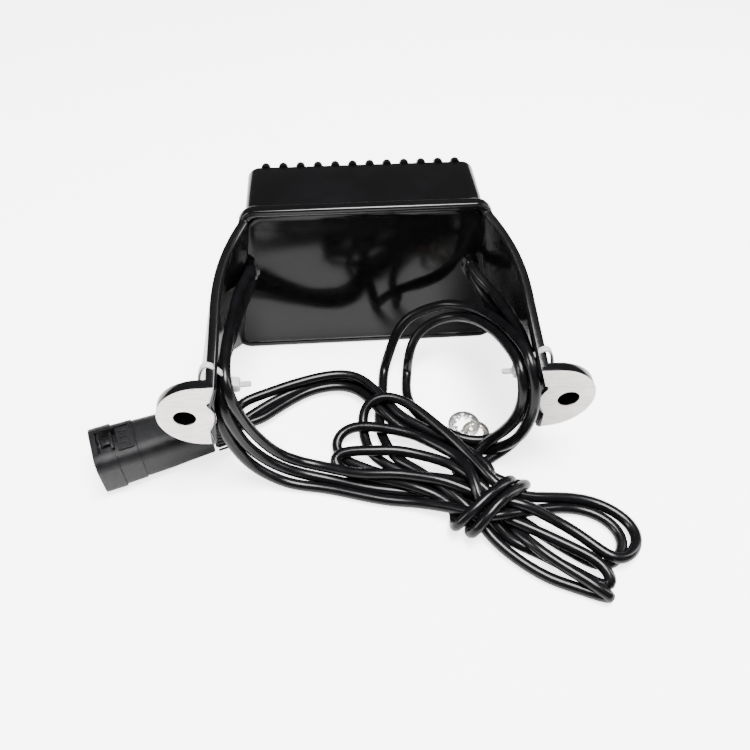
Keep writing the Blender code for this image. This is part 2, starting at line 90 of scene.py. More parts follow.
class Graph:
    """A material's nodes, with one method that adds any node."""

    def __init__(self, owner: Union[bpy.types.Material, bpy.types.World]) -> None:
        """Start from an empty tree.

        Args:
            owner: The material or world whose nodes are built.
        """
        owner.use_nodes = True
        self.tree = owner.node_tree
        self.tree.nodes.clear()

    def add(self, kind: str, settings: Optional[dict] = None, **sockets: object) -> bpy.types.Node:
        """Add one node, set its settings first and then its sockets.

        Args:
            kind: The node's type name.
            settings: Attributes of the node, such as an operation. A key "stops" sets a ramp's stops.
            sockets: Values or links by socket name, with _ for a space and a trailing number for an index.

        Returns:
            The node.
        """
        node = self.tree.nodes.new(kind)
        for key, value in (settings or {}).items():
            if key == "stops":
                self.set_stops(node, value)
            else:
                setattr(node, key, value)
        for key, value in sockets.items():
            socket = node.inputs[int(key[1:])] if key[1:].isdigit() else node.inputs[key.replace("_", " ")]
            if isinstance(value, Shade):
                self.tree.links.new(value.socket, socket)
            elif isinstance(value, bpy.types.NodeSocket):
                self.tree.links.new(value, socket)
            else:
                socket.default_value = value
        return node

    @staticmethod
    def set_stops(node: bpy.types.Node, stops: Sequence[tuple[float, float]]) -> None:
        """Set a grey ramp's stops.

        Args:
            node: The ramp node.
            stops: Pairs of position and grey level.
        """
        ramp = node.color_ramp
        while len(ramp.elements) < len(stops):
            ramp.elements.new(0.5)
        for element, (place_at, level) in zip(ramp.elements, stops):
            element.position = place_at
            element.color = (level, level, level, 1.0)

    def noise(self, scale: float, detail: float, vector: bpy.types.NodeSocket) -> "Shade":
        """Return a noise value.

        Args:
            scale: Features per metre.
            detail: Octaves.
            vector: The coordinates to read.

        Returns:
            The noise as a value from 0 to 1.
        """
        node = self.add("ShaderNodeTexNoise", {"noise_dimensions": "3D"}, Vector=vector, Scale=scale,
                        Detail=detail, Roughness=NOISE_ROUGHNESS)
        return Shade(self, node.outputs["Fac"])

    def stretched(self, stretch: Point) -> bpy.types.NodeSocket:
        """Return object coordinates scaled by a vector.

        Args:
            stretch: The scale along each axis.

        Returns:
            The vector socket.
        """
        where = self.add("ShaderNodeTexCoord")
        node = self.add("ShaderNodeVectorMath", {"operation": "MULTIPLY"}, _0=where.outputs["Object"],
                        _1=stretch)
        return node.outputs[0]

    def mix(self, factor: "Shade", first: Sequence[float], second: Sequence[float]) -> bpy.types.NodeSocket:
        """Blend two colours.

        Args:
            factor: How much of the second colour.
            first: The first colour.
            second: The second colour.

        Returns:
            The colour socket.
        """
        node = self.add("ShaderNodeMix", {"data_type": "RGBA"}, _0=factor, _6=(*first, 1.0),
                        _7=(*second, 1.0))
        return node.outputs[2]


class Shade:
    """A value socket that can be used in sums."""

    def __init__(self, graph: Graph, socket: bpy.types.NodeSocket) -> None:
        """Wrap a socket.

        Args:
            graph: The graph it belongs to.
            socket: The value socket.
        """
        self.graph = graph
        self.socket = socket

    def _math(self, operation: str, first: Number, second: Number) -> "Shade":
        """Add one Math node and return its value."""
        node = self.graph.add("ShaderNodeMath", {"operation": operation}, _0=first, _1=second)
        return Shade(self.graph, node.outputs[0])

    def __add__(self, other: Number) -> "Shade":
        """Return self + other."""
        return self._math("ADD", self, other)

    def __radd__(self, other: Number) -> "Shade":
        """Return other + self."""
        return self._math("ADD", other, self)

    def __sub__(self, other: Number) -> "Shade":
        """Return self - other."""
        return self._math("SUBTRACT", self, other)

    def __rsub__(self, other: Number) -> "Shade":
        """Return other - self."""
        return self._math("SUBTRACT", other, self)

    def __mul__(self, other: Number) -> "Shade":
        """Return self * other."""
        return self._math("MULTIPLY", self, other)

    def __rmul__(self, other: Number) -> "Shade":
        """Return other * self."""
        return self._math("MULTIPLY", other, self)

    def __gt__(self, other: Number) -> "Shade":
        """Return 1 where self is above other."""
        return self._math("GREATER_THAN", self, other)

    def eased(self, low: float, high: float) -> "Shade":
        """Return 0 below low, 1 above high and a smooth step between.

        Args:
            low: Where the step starts.
            high: Where it ends.

        Returns:
            The eased value.
        """
        node = self.graph.add("ShaderNodeMapRange", {"interpolation_type": "SMOOTHSTEP"}, Value=self,
                              From_Min=low, From_Max=high)
        return Shade(self.graph, node.outputs[0])


@dataclass(frozen=True)
class Finish:
    """One surface finish: its colours, gloss and small pattern."""

    name: str
    base: Point
    worn: Point
    rough: float
    rough_spread: float
    grain: Grain
    grain_scale: float
    bump: float
    metal: float = 0.0
    specular: float = 0.5
    in_record: bool = True

    def mark(self, piece: bpy.types.Object) -> None:
        """Put the finish on a piece."""
        piece.data.materials.append(self.build())

    def build(self) -> bpy.types.Material:
        """Make the material, or return it if it was made before.

        Returns:
            The material.
        """
        name = "finish_" + self.name
        if name in bpy.data.materials:
            return bpy.data.materials[name]
        material = bpy.data.materials.new(name)
        graph = Graph(material)
        fine, broad = self.patterns(graph)
        colour = graph.mix(broad.eased(0.35, 0.75), self.base, self.worn)
        rough = self.rough + (broad - 0.5) * self.rough_spread + (fine - 0.5) * (self.rough_spread * 0.5)
        bump = graph.add("ShaderNodeBump", None, Strength=self.bump, Distance=BUMP_DEPTH, Height=fine)
        shader = graph.add("ShaderNodeBsdfPrincipled", None, Base_Color=colour, Roughness=rough,
                           Metallic=self.metal, Normal=bump.outputs[0])
        shader.inputs["Specular IOR Level"].default_value = self.specular
        graph.add("ShaderNodeOutputMaterial", None, Surface=shader.outputs[0])
        return material

    def patterns(self, graph: Graph) -> tuple[Shade, Shade]:
        """Return the fine pattern that drives the bump and the broad one that drives the colour.

        Args:
            graph: The graph to build in.

        Returns:
            The fine and the broad pattern.
        """
        even = graph.stretched(EVEN)
        broad = graph.noise(self.grain_scale * 0.06, 4.0, even)
        if self.grain is Grain.LINES:
            marks = graph.noise(self.grain_scale, 3.0, graph.stretched((0.05, 1.0, 1.0)))
            dents = graph.noise(self.grain_scale * 0.5, 2.0, graph.stretched((0.6, 1.0, 1.0)))
            nicks = dents.eased(0.68, 0.75)
            return marks - nicks * 0.8, marks * 0.7 + broad * 0.3 + nicks * 0.5
        if self.grain is Grain.WAVES:
            return graph.noise(self.grain_scale, 1.5, even), broad
        if self.grain is Grain.SPECKLE:
            return graph.noise(self.grain_scale, 5.0, even), graph.noise(self.grain_scale * 0.3, 5.0, even)
        if self.grain is Grain.PEBBLE:
            return graph.noise(self.grain_scale, 4.0, even), broad
        return graph.noise(self.grain_scale, 2.0, even), broad


ENAMEL = Finish("gloss_black_paint", (0.0020, 0.0020, 0.0022), (0.0035, 0.0035, 0.004), 0.14, 0.05,
                Grain.PEEL, 500.0, 0.05, specular=0.26)
RESIN = Finish("black_potting", (0.0020, 0.0020, 0.0021), (0.0036, 0.0036, 0.004), 0.11, 0.04,
               Grain.WAVES, 38.0, 0.40, specular=0.19)
VINYL = Finish("black_vinyl", (0.0020, 0.0020, 0.0023), (0.0035, 0.0035, 0.004), 0.23, 0.07,
               Grain.PEBBLE, 2600.0, 0.05, specular=0.21)
MOULDED = Finish("moulded_plastic", (0.0045, 0.0045, 0.005), (0.008, 0.008, 0.009), 0.34, 0.12,
                 Grain.PEBBLE, 5200.0, 0.35, specular=0.17)
NYLON = Finish("white_nylon", (0.40, 0.41, 0.41), (0.33, 0.345, 0.345), 0.42, 0.12, Grain.PEBBLE,
               2200.0, 0.15)
MILLED = Finish("milled_metal", (0.92, 0.86, 0.84), (0.62, 0.57, 0.55), 0.46, 0.14, Grain.LINES,
                2400.0, 0.32, metal=0.55, in_record=False)
ZINC = Finish("zinc_plate", (0.42, 0.42, 0.41), (0.30, 0.30, 0.29), 0.38, 0.16, Grain.SPECKLE,
              2600.0, 0.25, metal=0.95)
TIN = Finish("tinned_copper", (0.60, 0.57, 0.50), (0.40, 0.37, 0.31), 0.30, 0.16, Grain.SPECKLE,
             2400.0, 0.25, metal=0.95)
STEEL = Finish("plated_steel", (0.55, 0.55, 0.56), (0.42, 0.42, 0.43), 0.34, 0.12, Grain.LINES, 2400.0, 0.2,
               metal=1.0)
RED = Finish("red_vinyl", (0.34, 0.012, 0.014), (0.24, 0.01, 0.012), 0.3, 0.1, Grain.PEBBLE, 2600.0, 0.1,
             in_record=False)
SEAL = Finish("seal_rubber", (0.03, 0.03, 0.032), (0.02, 0.02, 0.021), 0.6, 0.15, Grain.PEBBLE, 2600.0, 0.3)
LAMINATE = Finish("board_laminate", (0.01, 0.09, 0.03), (0.02, 0.14, 0.05), 0.4, 0.15, Grain.LINES,
                  1600.0, 0.2)
PAD = Finish("thermal_pad_grey", (0.40, 0.42, 0.45), (0.34, 0.36, 0.40), 0.8, 0.15, Grain.PEBBLE,
             3000.0, 0.3)


def place(point: Sequence[float]) -> Vector:
    """Turn a point in millimetres into the row frame in metres."""
    return Vector((point[0], point[1] + SHIFT_Y, point[2])) * MM


def circle(radius: float, count: int, centre: tuple[float, float] = (0.0, 0.0)) -> Outline:
    """Return points round a circle.

    Args:
        radius: The radius.
        count: How many points.
        centre: The centre.

    Returns:
        The outline.
    """
    turns = (2.0 * math.pi * i / count for i in range(count))
    return [(centre[0] + radius * math.cos(t), centre[1] + radius * math.sin(t)) for t in turns]


def rounded(points: Outline, radii: Sequence[float], steps: int = 8) -> Outline:
    """Round the corners of a closed outline.

    Args:
        points: The sharp corners in order.
        radii: One radius for each corner.
        steps: Segments in each corner.

    Returns:
        The rounded outline.
    """
    out: Outline = []
    for index, (corner, radius) in enumerate(zip(points, radii)):
        here = Vector(corner)
        before = (Vector(points[index - 1]) - here).normalized()
        after = (Vector(points[(index + 1) % len(points)]) - here).normalized()
        half = before.angle(after) / 2.0
        start = here + before * (radius / math.tan(half))
        end = here + after * (radius / math.tan(half))
        middle = here + (before + after).normalized() * (radius / math.sin(half))
        first = math.atan2(start.y - middle.y, start.x - middle.x)
        sweep = math.atan2(end.y - middle.y, end.x - middle.x) - first
        sweep = (sweep + math.pi) % (2.0 * math.pi) - math.pi
        for step in range(steps + 1):
            turn = first + sweep * step / steps
            out.append((middle.x + radius * math.cos(turn), middle.y + radius * math.sin(turn)))
    return out


class Maker:
    """Makes meshes from plain lists of points and dresses them."""

    @staticmethod
    def link(name: str, data: bpy.types.ID) -> bpy.types.Object:
        """Put a new object with this data into the scene and return it."""
        piece = bpy.data.objects.new(name, data)
        bpy.context.scene.collection.objects.link(piece)
        return piece

    @staticmethod
    def finish_piece(name: str, build: bmesh.types.BMesh, finish: Finish, body: str = UNIT,
                     angle: float = 38.0) -> bpy.types.Object:
        """Turn a bmesh into a shaded piece that rides on a body.

        Args:
            name: The piece's name.
            build: The mesh, which is freed.
            finish: Its finish.
            body: The body it rides on.
            angle: Edges sharper than this stay sharp.

        Returns:
            The piece.
        """
        bmesh.ops.remove_doubles(build, verts=build.verts, dist=1e-6)
        bmesh.ops.recalc_face_normals(build, faces=build.faces)
        mesh = bpy.data.meshes.new(name)
        build.to_mesh(mesh)
        build.free()
        piece = Maker.link(name, mesh)
        finish.mark(piece)
        mesh.shade_smooth()
        mesh.set_sharp_from_angle(angle=math.radians(angle))
        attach(piece, body)
        LOG.info("built %s", name)
        return piece

    @staticmethod
    def loft(rings: Sequence[Sequence[Sequence[float]]], closed: bool = False) -> bmesh.types.BMesh:
        """Skin rings of equal length.

        Args:
            rings: Rings of points in millimetres. The end rings are filled unless the last joins the first.
            closed: Whether the last ring joins the first.

        Returns:
            The mesh.
        """
        build = bmesh.new()
        rows = [[build.verts.new(place(p)) for p in ring] for ring in rings]
        if closed:
            rows.append(rows[0])
        else:
            build.faces.new(rows[0])
            build.faces.new(list(reversed(rows[-1])))
        for low, high in zip(rows[:-1], rows[1:]):
            for index in range(len(low)):
                follow = (index + 1) % len(low)
                build.faces.new((low[follow], low[index], high[index], high[follow]))
        return build

    @staticmethod
    def settle(piece: bpy.types.Object) -> None:
        """Apply every modifier of a piece to its mesh."""
        graph = bpy.context.evaluated_depsgraph_get()
        mesh = bpy.data.meshes.new_from_object(piece.evaluated_get(graph))
        old = piece.data
        piece.modifiers.clear()
        piece.data = mesh
        bpy.data.meshes.remove(old)

    @classmethod
    def soften(cls, piece: bpy.types.Object, width: float) -> None:
        """Round a piece's sharp edges.

        Args:
            piece: The piece.
            width: The bevel's width in millimetres.
        """
        step = piece.modifiers.new("soften", "BEVEL")
        step.width = width * MM
        step.segments = 2
        step.limit_method = "ANGLE"
        step.angle_limit = math.radians(35.0)
        step.use_clamp_overlap = True
        cls.settle(piece)
        piece.data.shade_smooth()
        piece.data.set_sharp_from_angle(angle=math.radians(60.0))

    @classmethod
    def cut(cls, piece: bpy.types.Object, cutters: Iterable[bmesh.types.BMesh]) -> None:
        """Cut shapes out of a piece and throw the cutters away.

        Args:
            piece: The piece.
            cutters: Closed meshes.
        """
        for build in cutters:
            bmesh.ops.recalc_face_normals(build, faces=build.faces)
            mesh = bpy.data.meshes.new("cutter")
            build.to_mesh(mesh)
            build.free()
            helper = cls.link("cutter", mesh)
            step = piece.modifiers.new("cut", "BOOLEAN")
            step.operation = "DIFFERENCE"
            step.solver = "EXACT"
            step.object = helper
            cls.settle(piece)
            bpy.data.objects.remove(helper, do_unlink=True)
            bpy.data.meshes.remove(mesh)

    @staticmethod
    def tube(name: str, line: Sequence[Vector], diameter: float, finish: Finish) -> bpy.types.Object:
        """Make a round lead along a line.

        Args:
            name: The piece's name.
            line: Points in millimetres.
            diameter: The diameter in millimetres.
            finish: Its finish.

        Returns:
            The curve object.
        """
        curve = bpy.data.curves.new(name, "CURVE")
        curve.dimensions = "3D"
        curve.bevel_depth = diameter / 2.0 * MM
        curve.bevel_resolution = 3
        curve.use_fill_caps = True
        spline = curve.splines.new("POLY")
        spline.points.add(len(line) - 1)
        spline.use_smooth = True
        for slot, point in zip(spline.points, line):
            slot.co = (*place(point), 1.0)
        piece = Maker.link(name, curve)
        finish.mark(piece)
        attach(piece, UNIT)
        LOG.info("built %s", name)
        return piece


@dataclass
class Housing:
    """The casting: flange, box, fins, legs and ears."""

    half_top: float = 55.0
    top_z: float = 85.6
    depth: float = 5.0
    corner: float = 8.0
    box_half_top: float = 53.0
    box_top_z: float = 82.0
    box_bottom_z: float = 2.0
    box_back: float = 39.4
    box_corner: float = 6.5
    fin_count: int = 12
    fin_pitch: float = 8.1
    fin_half: float = 2.2
    fin_reach: float = 8.0
    leg_thick: float = 4.5
    leg_x0: float = 55.4
    leg_flare: float = 11.2
    leg_draft: float = 0.10
    ear_front: float = -78.2
    ear_thick: float = 5.2
    boss_depth: float = 9.0
    ear_x: float = 71.0
    ear_z: float = 45.2
    ear_radius: float = 18.3
    hole_x: float = 78.2
    hole_radius: float = 4.4
    bite_radius: float = 12.6

    @staticmethod
    def trapezoid(half_top: float, top: float, bottom: float, r_top: float, r_bottom: float,
                  inset: float = 0.0) -> Outline:
        """Return a rounded trapezoid in (x, z) with its wide edge down.

        Args:
            half_top: Half the width at the top.
            top: Height of the top edge.
            bottom: Height of the bottom edge.
            r_top: Radius of the top corners.
            r_bottom: Radius of the bottom corners.
            inset: How far the outline is drawn in.

        Returns:
            The outline.
        """
        half_bottom = half_top + TAPER * (top - bottom)
        near = half_top - inset * 1.16
        far = half_bottom - inset * 0.86
        corners = [(near, top - inset), (-near, top - inset), (-far, bottom + inset), (far, bottom + inset)]
        radii = [max(1.0, r_top - inset)] * 2 + [max(1.0, r_bottom - inset)] * 2
        return rounded(corners, radii)

    def build(self) -> None:
        """Build and dress the whole casting."""
        rim = self.build_rim()
        self.build_box()
        self.build_fins()
        for side in Side:
            self.build_leg(side)
            self.build_ear(side)
        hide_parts("finned_housing")

    def build_rim(self) -> bpy.types.Object:
        """Build the flange with its raised rim.

        Returns:
            The rim piece.
        """
        profile = [(3.6, 4.6), (3.5, 1.2), (3.25, 0.55), (2.8, 0.15), (2.2, 0.0), (1.1, 0.0), (0.55, 0.15),
                   (0.18, 0.55), (0.0, 1.1), (0.0, 3.9), (0.15, 4.5), (0.6, 4.9), (1.2, 5.0), (6.5, 5.0),
                   (6.5, 4.6)]
        rings = []
        for inset, y in profile:
            outline = self.trapezoid(self.half_top, self.top_z, 0.0, self.corner, self.corner, inset)
            rings.append([(x, y, z) for x, z in outline])
        return Maker.finish_piece("flange_rim", Maker.loft(rings, closed=True), ENAMEL, angle=50.0)

    def build_box(self) -> None:
        """Build the drafted box behind the flange."""
        back = self.box_back
        profile = [(0.0, 4.6), (0.0, 5.4), (0.25, 20.0), (0.4, back - 2.0), (0.6, back - 1.1),
                   (1.0, back - 0.5), (1.6, back - 0.1), (2.3, back), (8.0, back)]
        rings = []
        for inset, y in profile:
            outline = self.trapezoid(self.box_half_top, self.box_top_z, self.box_bottom_z, self.box_corner,
                                     self.box_corner, inset)
            rings.append([(x, y, z) for x, z in outline])
        Maker.finish_piece("box_walls", Maker.loft(rings), ENAMEL, angle=50.0)

    def build_fins(self) -> None:
        """Build the row of upright fins with domed ends."""
        build = bmesh.new()
        for index in range(self.fin_count):
            self.add_fin(build, (index - (self.fin_count - 1) / 2.0) * self.fin_pitch)
        Maker.finish_piece("fin_row", build, ENAMEL, angle=50.0)

    def add_fin(self, build: bmesh.types.BMesh, middle: float) -> None:
        """Add one fin to a mesh.

        Args:
            build: The mesh.
            middle: The fin's X.
        """
        root = self.box_back - 1.6
        tip = self.box_back + self.fin_reach
        line = [(root, 3.6), (tip - 3.2, 3.6), (tip - 0.9, 4.6), (tip, 7.0), (tip, 70.0), (tip - 0.9, 73.6),
                (tip - 2.4, 76.6), (root + 5.0, 80.8), (root + 3.4, 82.0), (root + 1.8, 82.5), (root, 82.4)]
        rows = []
        steps = 12
        for step in range(steps + 1):
            turn = math.pi * (step / steps - 0.5)
            offset = math.sin(turn) * self.fin_half
            inset = (1.0 - math.cos(turn)) * self.fin_half * 0.8
            row = []
            for y, z in line:
                drawn_y = y if y <= root + 0.01 else y - inset * 0.8
                drawn_z = z - inset if z > 40.0 else z + inset * 0.6
                row.append(build.verts.new(place((middle + offset, drawn_y, drawn_z))))
            rows.append(row)
        for low, high in zip(rows[:-1], rows[1:]):
            for index in range(len(low)):
                follow = (index + 1) % len(low)
                build.faces.new((low[index], low[follow], high[follow], high[index]))
        build.faces.new(rows[0])
        build.faces.new(list(reversed(rows[-1])))

    def outer_x(self, y: float, z: float) -> float:
        """Return the distance from the middle plane to a leg's outer face."""
        share = min(1.0, max(0.0, -y / 44.0))
        swept = self.leg_x0 + self.leg_flare * (1.0 - (1.0 - share) ** 2.2) - 0.022 * (y + 44.0 * share)
        draft = TAPER + self.leg_draft * min(1.0, max(0.0, -y / 22.0))
        return swept + draft * (self.leg_top(y) - z)

    def inner_x(self, y: float, z: float) -> float:
        """Return the distance from the middle plane to a leg's inner face."""
        return self.outer_x(y, z) - self.leg_thick

    @staticmethod
    def leg_top(y: float) -> float:
        """Return the height of a leg's top edge."""
        return 81.5 + 0.2375 * y

    @staticmethod
    def leg_bottom(y: float) -> float:
        """Return the height of a leg's bottom edge."""
        return 3.0 - 0.3 * y

    def build_leg(self, side: Side) -> None:
        """Build one leg, which sweeps out from the flange and then runs nearly straight.

        Args:
            side: Which leg.
        """
        sign = side.value
        rings = []
        count = 44
        for step in range(count + 1):
            y = 2.4 + (self.ear_front + 1.0 - 2.4) * step / count
            rings.append([(sign * x, y, z) for x, z in self.leg_section(y)])
        Maker.finish_piece("leg_" + side.word, Maker.loft(rings), ENAMEL, angle=50.0)

    def leg_section(self, y: float) -> Outline:
        """Return the rounded section of a leg in (x, z).

        Args:
            y: Where the section is.

        Returns:
            The section.
        """
        top = self.leg_top(y)
        low = self.leg_bottom(y)
        corners = [(self.outer_x(y, top), top), (self.inner_x(y, top), top), (self.inner_x(y, low), low),
                   (self.outer_x(y, low), low)]
        return rounded(corners, [1.5, 1.1, 1.1, 1.5], 5)

    def ear_outline(self, grow: float = 0.0) -> Outline:
        """Return the D outline of an ear in (x, z) for the right side.

        Args:
            grow: How far the outline is pushed out.

        Returns:
            The outline.
        """
        radius = self.ear_radius + grow
        return self.ear_arc(radius) + [(68.0, self.ear_z - radius), (64.2, self.ear_z + radius)]

    def ear_arc(self, radius: float) -> Outline:
        """Return the half circle at the free end of an ear, from the top down."""
        turns = [math.pi / 2.0 - math.pi * step / 36.0 for step in range(37)]
        return [(self.ear_x + radius * math.cos(t), self.ear_z + radius * math.sin(t)) for t in turns]

    def bite_point(self, degrees: float) -> tuple[float, float]:
        """Return a point of the spotface's bite, by its angle round the bolt hole."""
        turn = math.radians(degrees)
        return self.hole_x + self.bite_radius * math.cos(turn), self.ear_z + self.bite_radius * math.sin(turn)

    def bare_outline(self) -> Outline:
        """Return the bare milled area: the ear less the leg's fillet, with the spotface's bite."""
        radius = self.ear_radius - 0.06
        points = self.ear_arc(radius) + [(68.6, self.ear_z - radius), (69.4, 35.6)]
        bite = [self.bite_point(degrees) for degrees in range(228, 131, -8)]
        points += [p for p in bite if 36.4 < p[1] < 53.6]
        points += [(66.9, 54.4), (63.9, self.ear_z + radius)]
        return points

    def build_ear(self, side: Side) -> None:
        """Build one ear: the painted plate, the bare face, and the fillet into the leg.

        Args:
            side: Which ear.
        """
        sign = side.value
        front = self.ear_front
        rings = [[(sign * x, y, z) for x, z in self.ear_outline(grow)]
                 for grow, y in ((-0.15, front), (0.0, front + 0.2), (0.0, front + self.ear_thick - 0.9),
                                 (-0.9, front + self.ear_thick))]
        ear = Maker.finish_piece("ear_" + side.word, Maker.loft(rings), ENAMEL, angle=50.0)
        Maker.cut(ear, [self.hole_cutter(sign)])
        boss_rings = []
        for depth, radius in ((2.0, 8.2), (self.boss_depth - 0.8, 7.9), (self.boss_depth - 0.2, 7.7),
                              (self.boss_depth, 7.2)):
            ring = circle(radius, 48, (sign * self.hole_x, self.ear_z))
            boss_rings.append([(x, front + depth, z) for x, z in ring])
        boss = Maker.finish_piece("ear_boss_" + side.word, Maker.loft(boss_rings), ENAMEL, angle=50.0)
        Maker.cut(boss, [self.hole_cutter(sign)])
        face = [[(sign * x, y, z) for x, z in self.bare_outline()] for y in (front - 0.06, front + 0.3)]
        bare = Maker.finish_piece("milled_face_" + side.word, Maker.loft(face), MILLED)
        Maker.cut(bare, [self.hole_cutter(sign)])
        self.build_fillet(side)

    def hole_cutter(self, sign: int) -> bmesh.types.BMesh:
        """Return the bolt hole's cutter, with a small lead-in at the front."""
        rings = []
        for y, wider in ((-1.5, 0.4), (0.0, 0.2), (0.25, 0.0), (12.0, 0.0)):
            ring = circle(self.hole_radius + wider, 40, (sign * self.hole_x, self.ear_z))
            rings.append([(x, self.ear_front + y, z) for x, z in ring])
        return Maker.loft(rings)

    def build_fillet(self, side: Side) -> None:
        """Build the painted fillet between the leg and the bare face.

        Args:
            side: Which ear.
        """
        sign = side.value
        edge = [(64.0, 63.0), (66.9, 54.4)]
        edge += [self.bite_point(180.0 - degrees) for degrees in range(38, -47, -12)]
        edge += [(69.4, 35.6), (68.6, 27.2)]
        front = self.ear_front
        rows = []
        for share, ahead in ((0.0, -0.25), (0.06, 0.75), (0.45, 0.55), (1.0, -2.4)):
            row = []
            for x, z in edge:
                inner = self.inner_x(front, z) - 0.2
                row.append((sign * (x + (inner - x) * share), front - ahead, z))
            rows.append(row)
        build = bmesh.new()
        verts = [[build.verts.new(place(p)) for p in row] for row in rows]
        for low, high in zip(verts[:-1], verts[1:]):
            for index in range(len(low) - 1):
                build.faces.new((low[index], low[index + 1], high[index + 1], high[index]))
        build.faces.new([row[0] for row in verts])
        build.faces.new([row[-1] for row in reversed(verts)])
        for corners in zip(verts[-1][:-1], verts[-1][1:], verts[0][1:], verts[0][:-1]):
            build.faces.new(corners)
        Maker.finish_piece("fillet_" + side.word, build, ENAMEL, angle=55.0)


@dataclass
class Potting:
    """The poured resin, its edge that creeps up the rim, and the collars round the leads."""

    level: float = 0.9
    exit_left: Point = (-53.5, 0.0, 52.0)
    exit_right: Point = (49.0, 0.0, 50.0)

    def build(self, housing: Housing) -> None:
        """Build the resin face and the two collars.

        Args:
            housing: The casting that the resin fills.
        """
        rings = []
        for inset, y in ((3.3, 4.0), (3.35, 0.75), (3.6, 0.6), (4.1, 0.72), (4.9, 0.88),
                         (6.4, self.level + 0.08), (11.0, self.level + 0.12)):
            outline = housing.trapezoid(housing.half_top, housing.top_z, 0.0, housing.corner + 3.0,
                                        housing.corner + 1.0, inset)
            rings.append([(x, y, z) for x, z in outline])
        face = Maker.finish_piece("resin_face", Maker.loft(rings), RESIN, angle=60.0)
        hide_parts("potting_block")
        for side, middle in ((Side.LEFT, self.exit_left), (Side.RIGHT, self.exit_right)):
            self.build_collar(side, middle)

    def build_collar(self, side: Side, middle: Point) -> None:
        """Build the resin collar that climbs a little up the leads.

        Args:
            side: Which exit.
            middle: Its centre.
        """
        rings = []
        for step, (y, reach) in enumerate(((1.4, 7.0), (0.85, 6.2), (0.4, 4.8), (-0.4, 3.9), (-1.5, 3.3),
                                           (-2.6, 2.6))):
            ring = []
            for index, (x, z) in enumerate(circle(reach, 28)):
                ripple = 1.0 + 0.05 * math.sin(index * 1.7 + step)
                ring.append((middle[0] + x * 0.62 * ripple, y, middle[2] + z * ripple * 1.05))
            rings.append(ring)
        collar = Maker.finish_piece("resin_collar_" + side.word, Maker.loft(rings), RESIN, angle=70.0)
        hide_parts("exit_sleeve_" + side.word)


@dataclass
class CableTie:
    """A nylon tie: its strap round the leads and the leg, its head and its cut tail."""

    side: Side
    y: float = -68.6
    width: float = 2.7

    def build(self) -> None:
        """Build the strap, the head and the tail of one tie."""
        strap = self.build_strap()
        self.build_head()
        self.build_tail()
        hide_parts("cable_tie_" + self.side.word)

    def build_strap(self) -> bpy.types.Object:
        """Build the closed strap.

        Returns:
            The strap.
        """
        loop = [(72.4, 50), (71.2, 57), (70.0, 62.2), (68.2, 66.0), (66, 66.5), (64, 64.0), (62.2, 61.4),
                (60.4, 58.4), (59.2, 54), (59.8, 49.5), (61.5, 46.6), (64.5, 45.2), (70.5, 44.8)]
        line = Route.through([(x, 0.0, z) for x, z in loop], 1.2, 3, closed=True)
        middle = sum(line, Vector()) / len(line)
        half = self.width / 2.0
        rings = []
        for index, point in enumerate(line):
            along = line[(index + 1) % len(line)] - line[index - 1]
            out = Vector((along.z, 0.0, -along.x)).normalized()
            if out.dot(point - middle) < 0.0:
                out = -out
            ring = []
            for across, proud in ((-half, 0.25), (-half, 0.8), (-half + 0.35, 1.1), (half - 0.35, 1.1),
                                  (half, 0.8), (half, 0.25), (half - 0.3, 0.0), (-half + 0.3, 0.0)):
                spot = point + out * (proud - 0.5)
                ring.append((self.side.value * spot.x, self.y + across, spot.z))
            rings.append(ring)
        return Maker.finish_piece("tie_strap_" + self.side.word, Maker.loft(rings, closed=True), NYLON,
                                  angle=55.0)

    def build_head(self) -> None:
        """Build the head with the slot that the tail comes through."""
        sign = self.side.value
        outline = rounded([(55.4, 51.4), (59.6, 50.6), (59.6, 56.4), (55.4, 55.6)], [0.9, 0.5, 0.5, 0.9], 4)
        rings = []
        for shrink, y in ((0.8, -2.5), (1.0, -1.9), (1.0, 1.9), (0.8, 2.5)):
            rings.append([(sign * (57.5 + (x - 57.5) * shrink), self.y + y, 53.5 + (z - 53.5) * shrink)
                          for x, z in outline])
        head = Maker.finish_piece("tie_head_" + self.side.word, Maker.loft(rings), NYLON)
        Maker.soften(head, 0.3)

    def build_tail(self) -> None:
        """Build the tail, with the teeth of its ratchet on one face."""
        sign = self.side.value
        rings = []
        for step in range(21):
            x = 55.8 - step * 0.24
            tooth = 0.22 if step % 2 else 0.0
            half = 1.15 if step < 19 else 0.9
            rings.append([(sign * x, self.y - half, 53.0), (sign * x, self.y - half, 53.9 - tooth * 0.3),
                          (sign * x, self.y - half * 0.8, 54.1 - tooth),
                          (sign * x, self.y + half * 0.8, 54.1 - tooth),
                          (sign * x, self.y + half, 53.9 - tooth * 0.3), (sign * x, self.y + half, 53.0),
                          (sign * x, self.y, 52.9)])
        Maker.finish_piece("tie_tail_" + self.side.word, Maker.loft(rings), NYLON, angle=25.0)


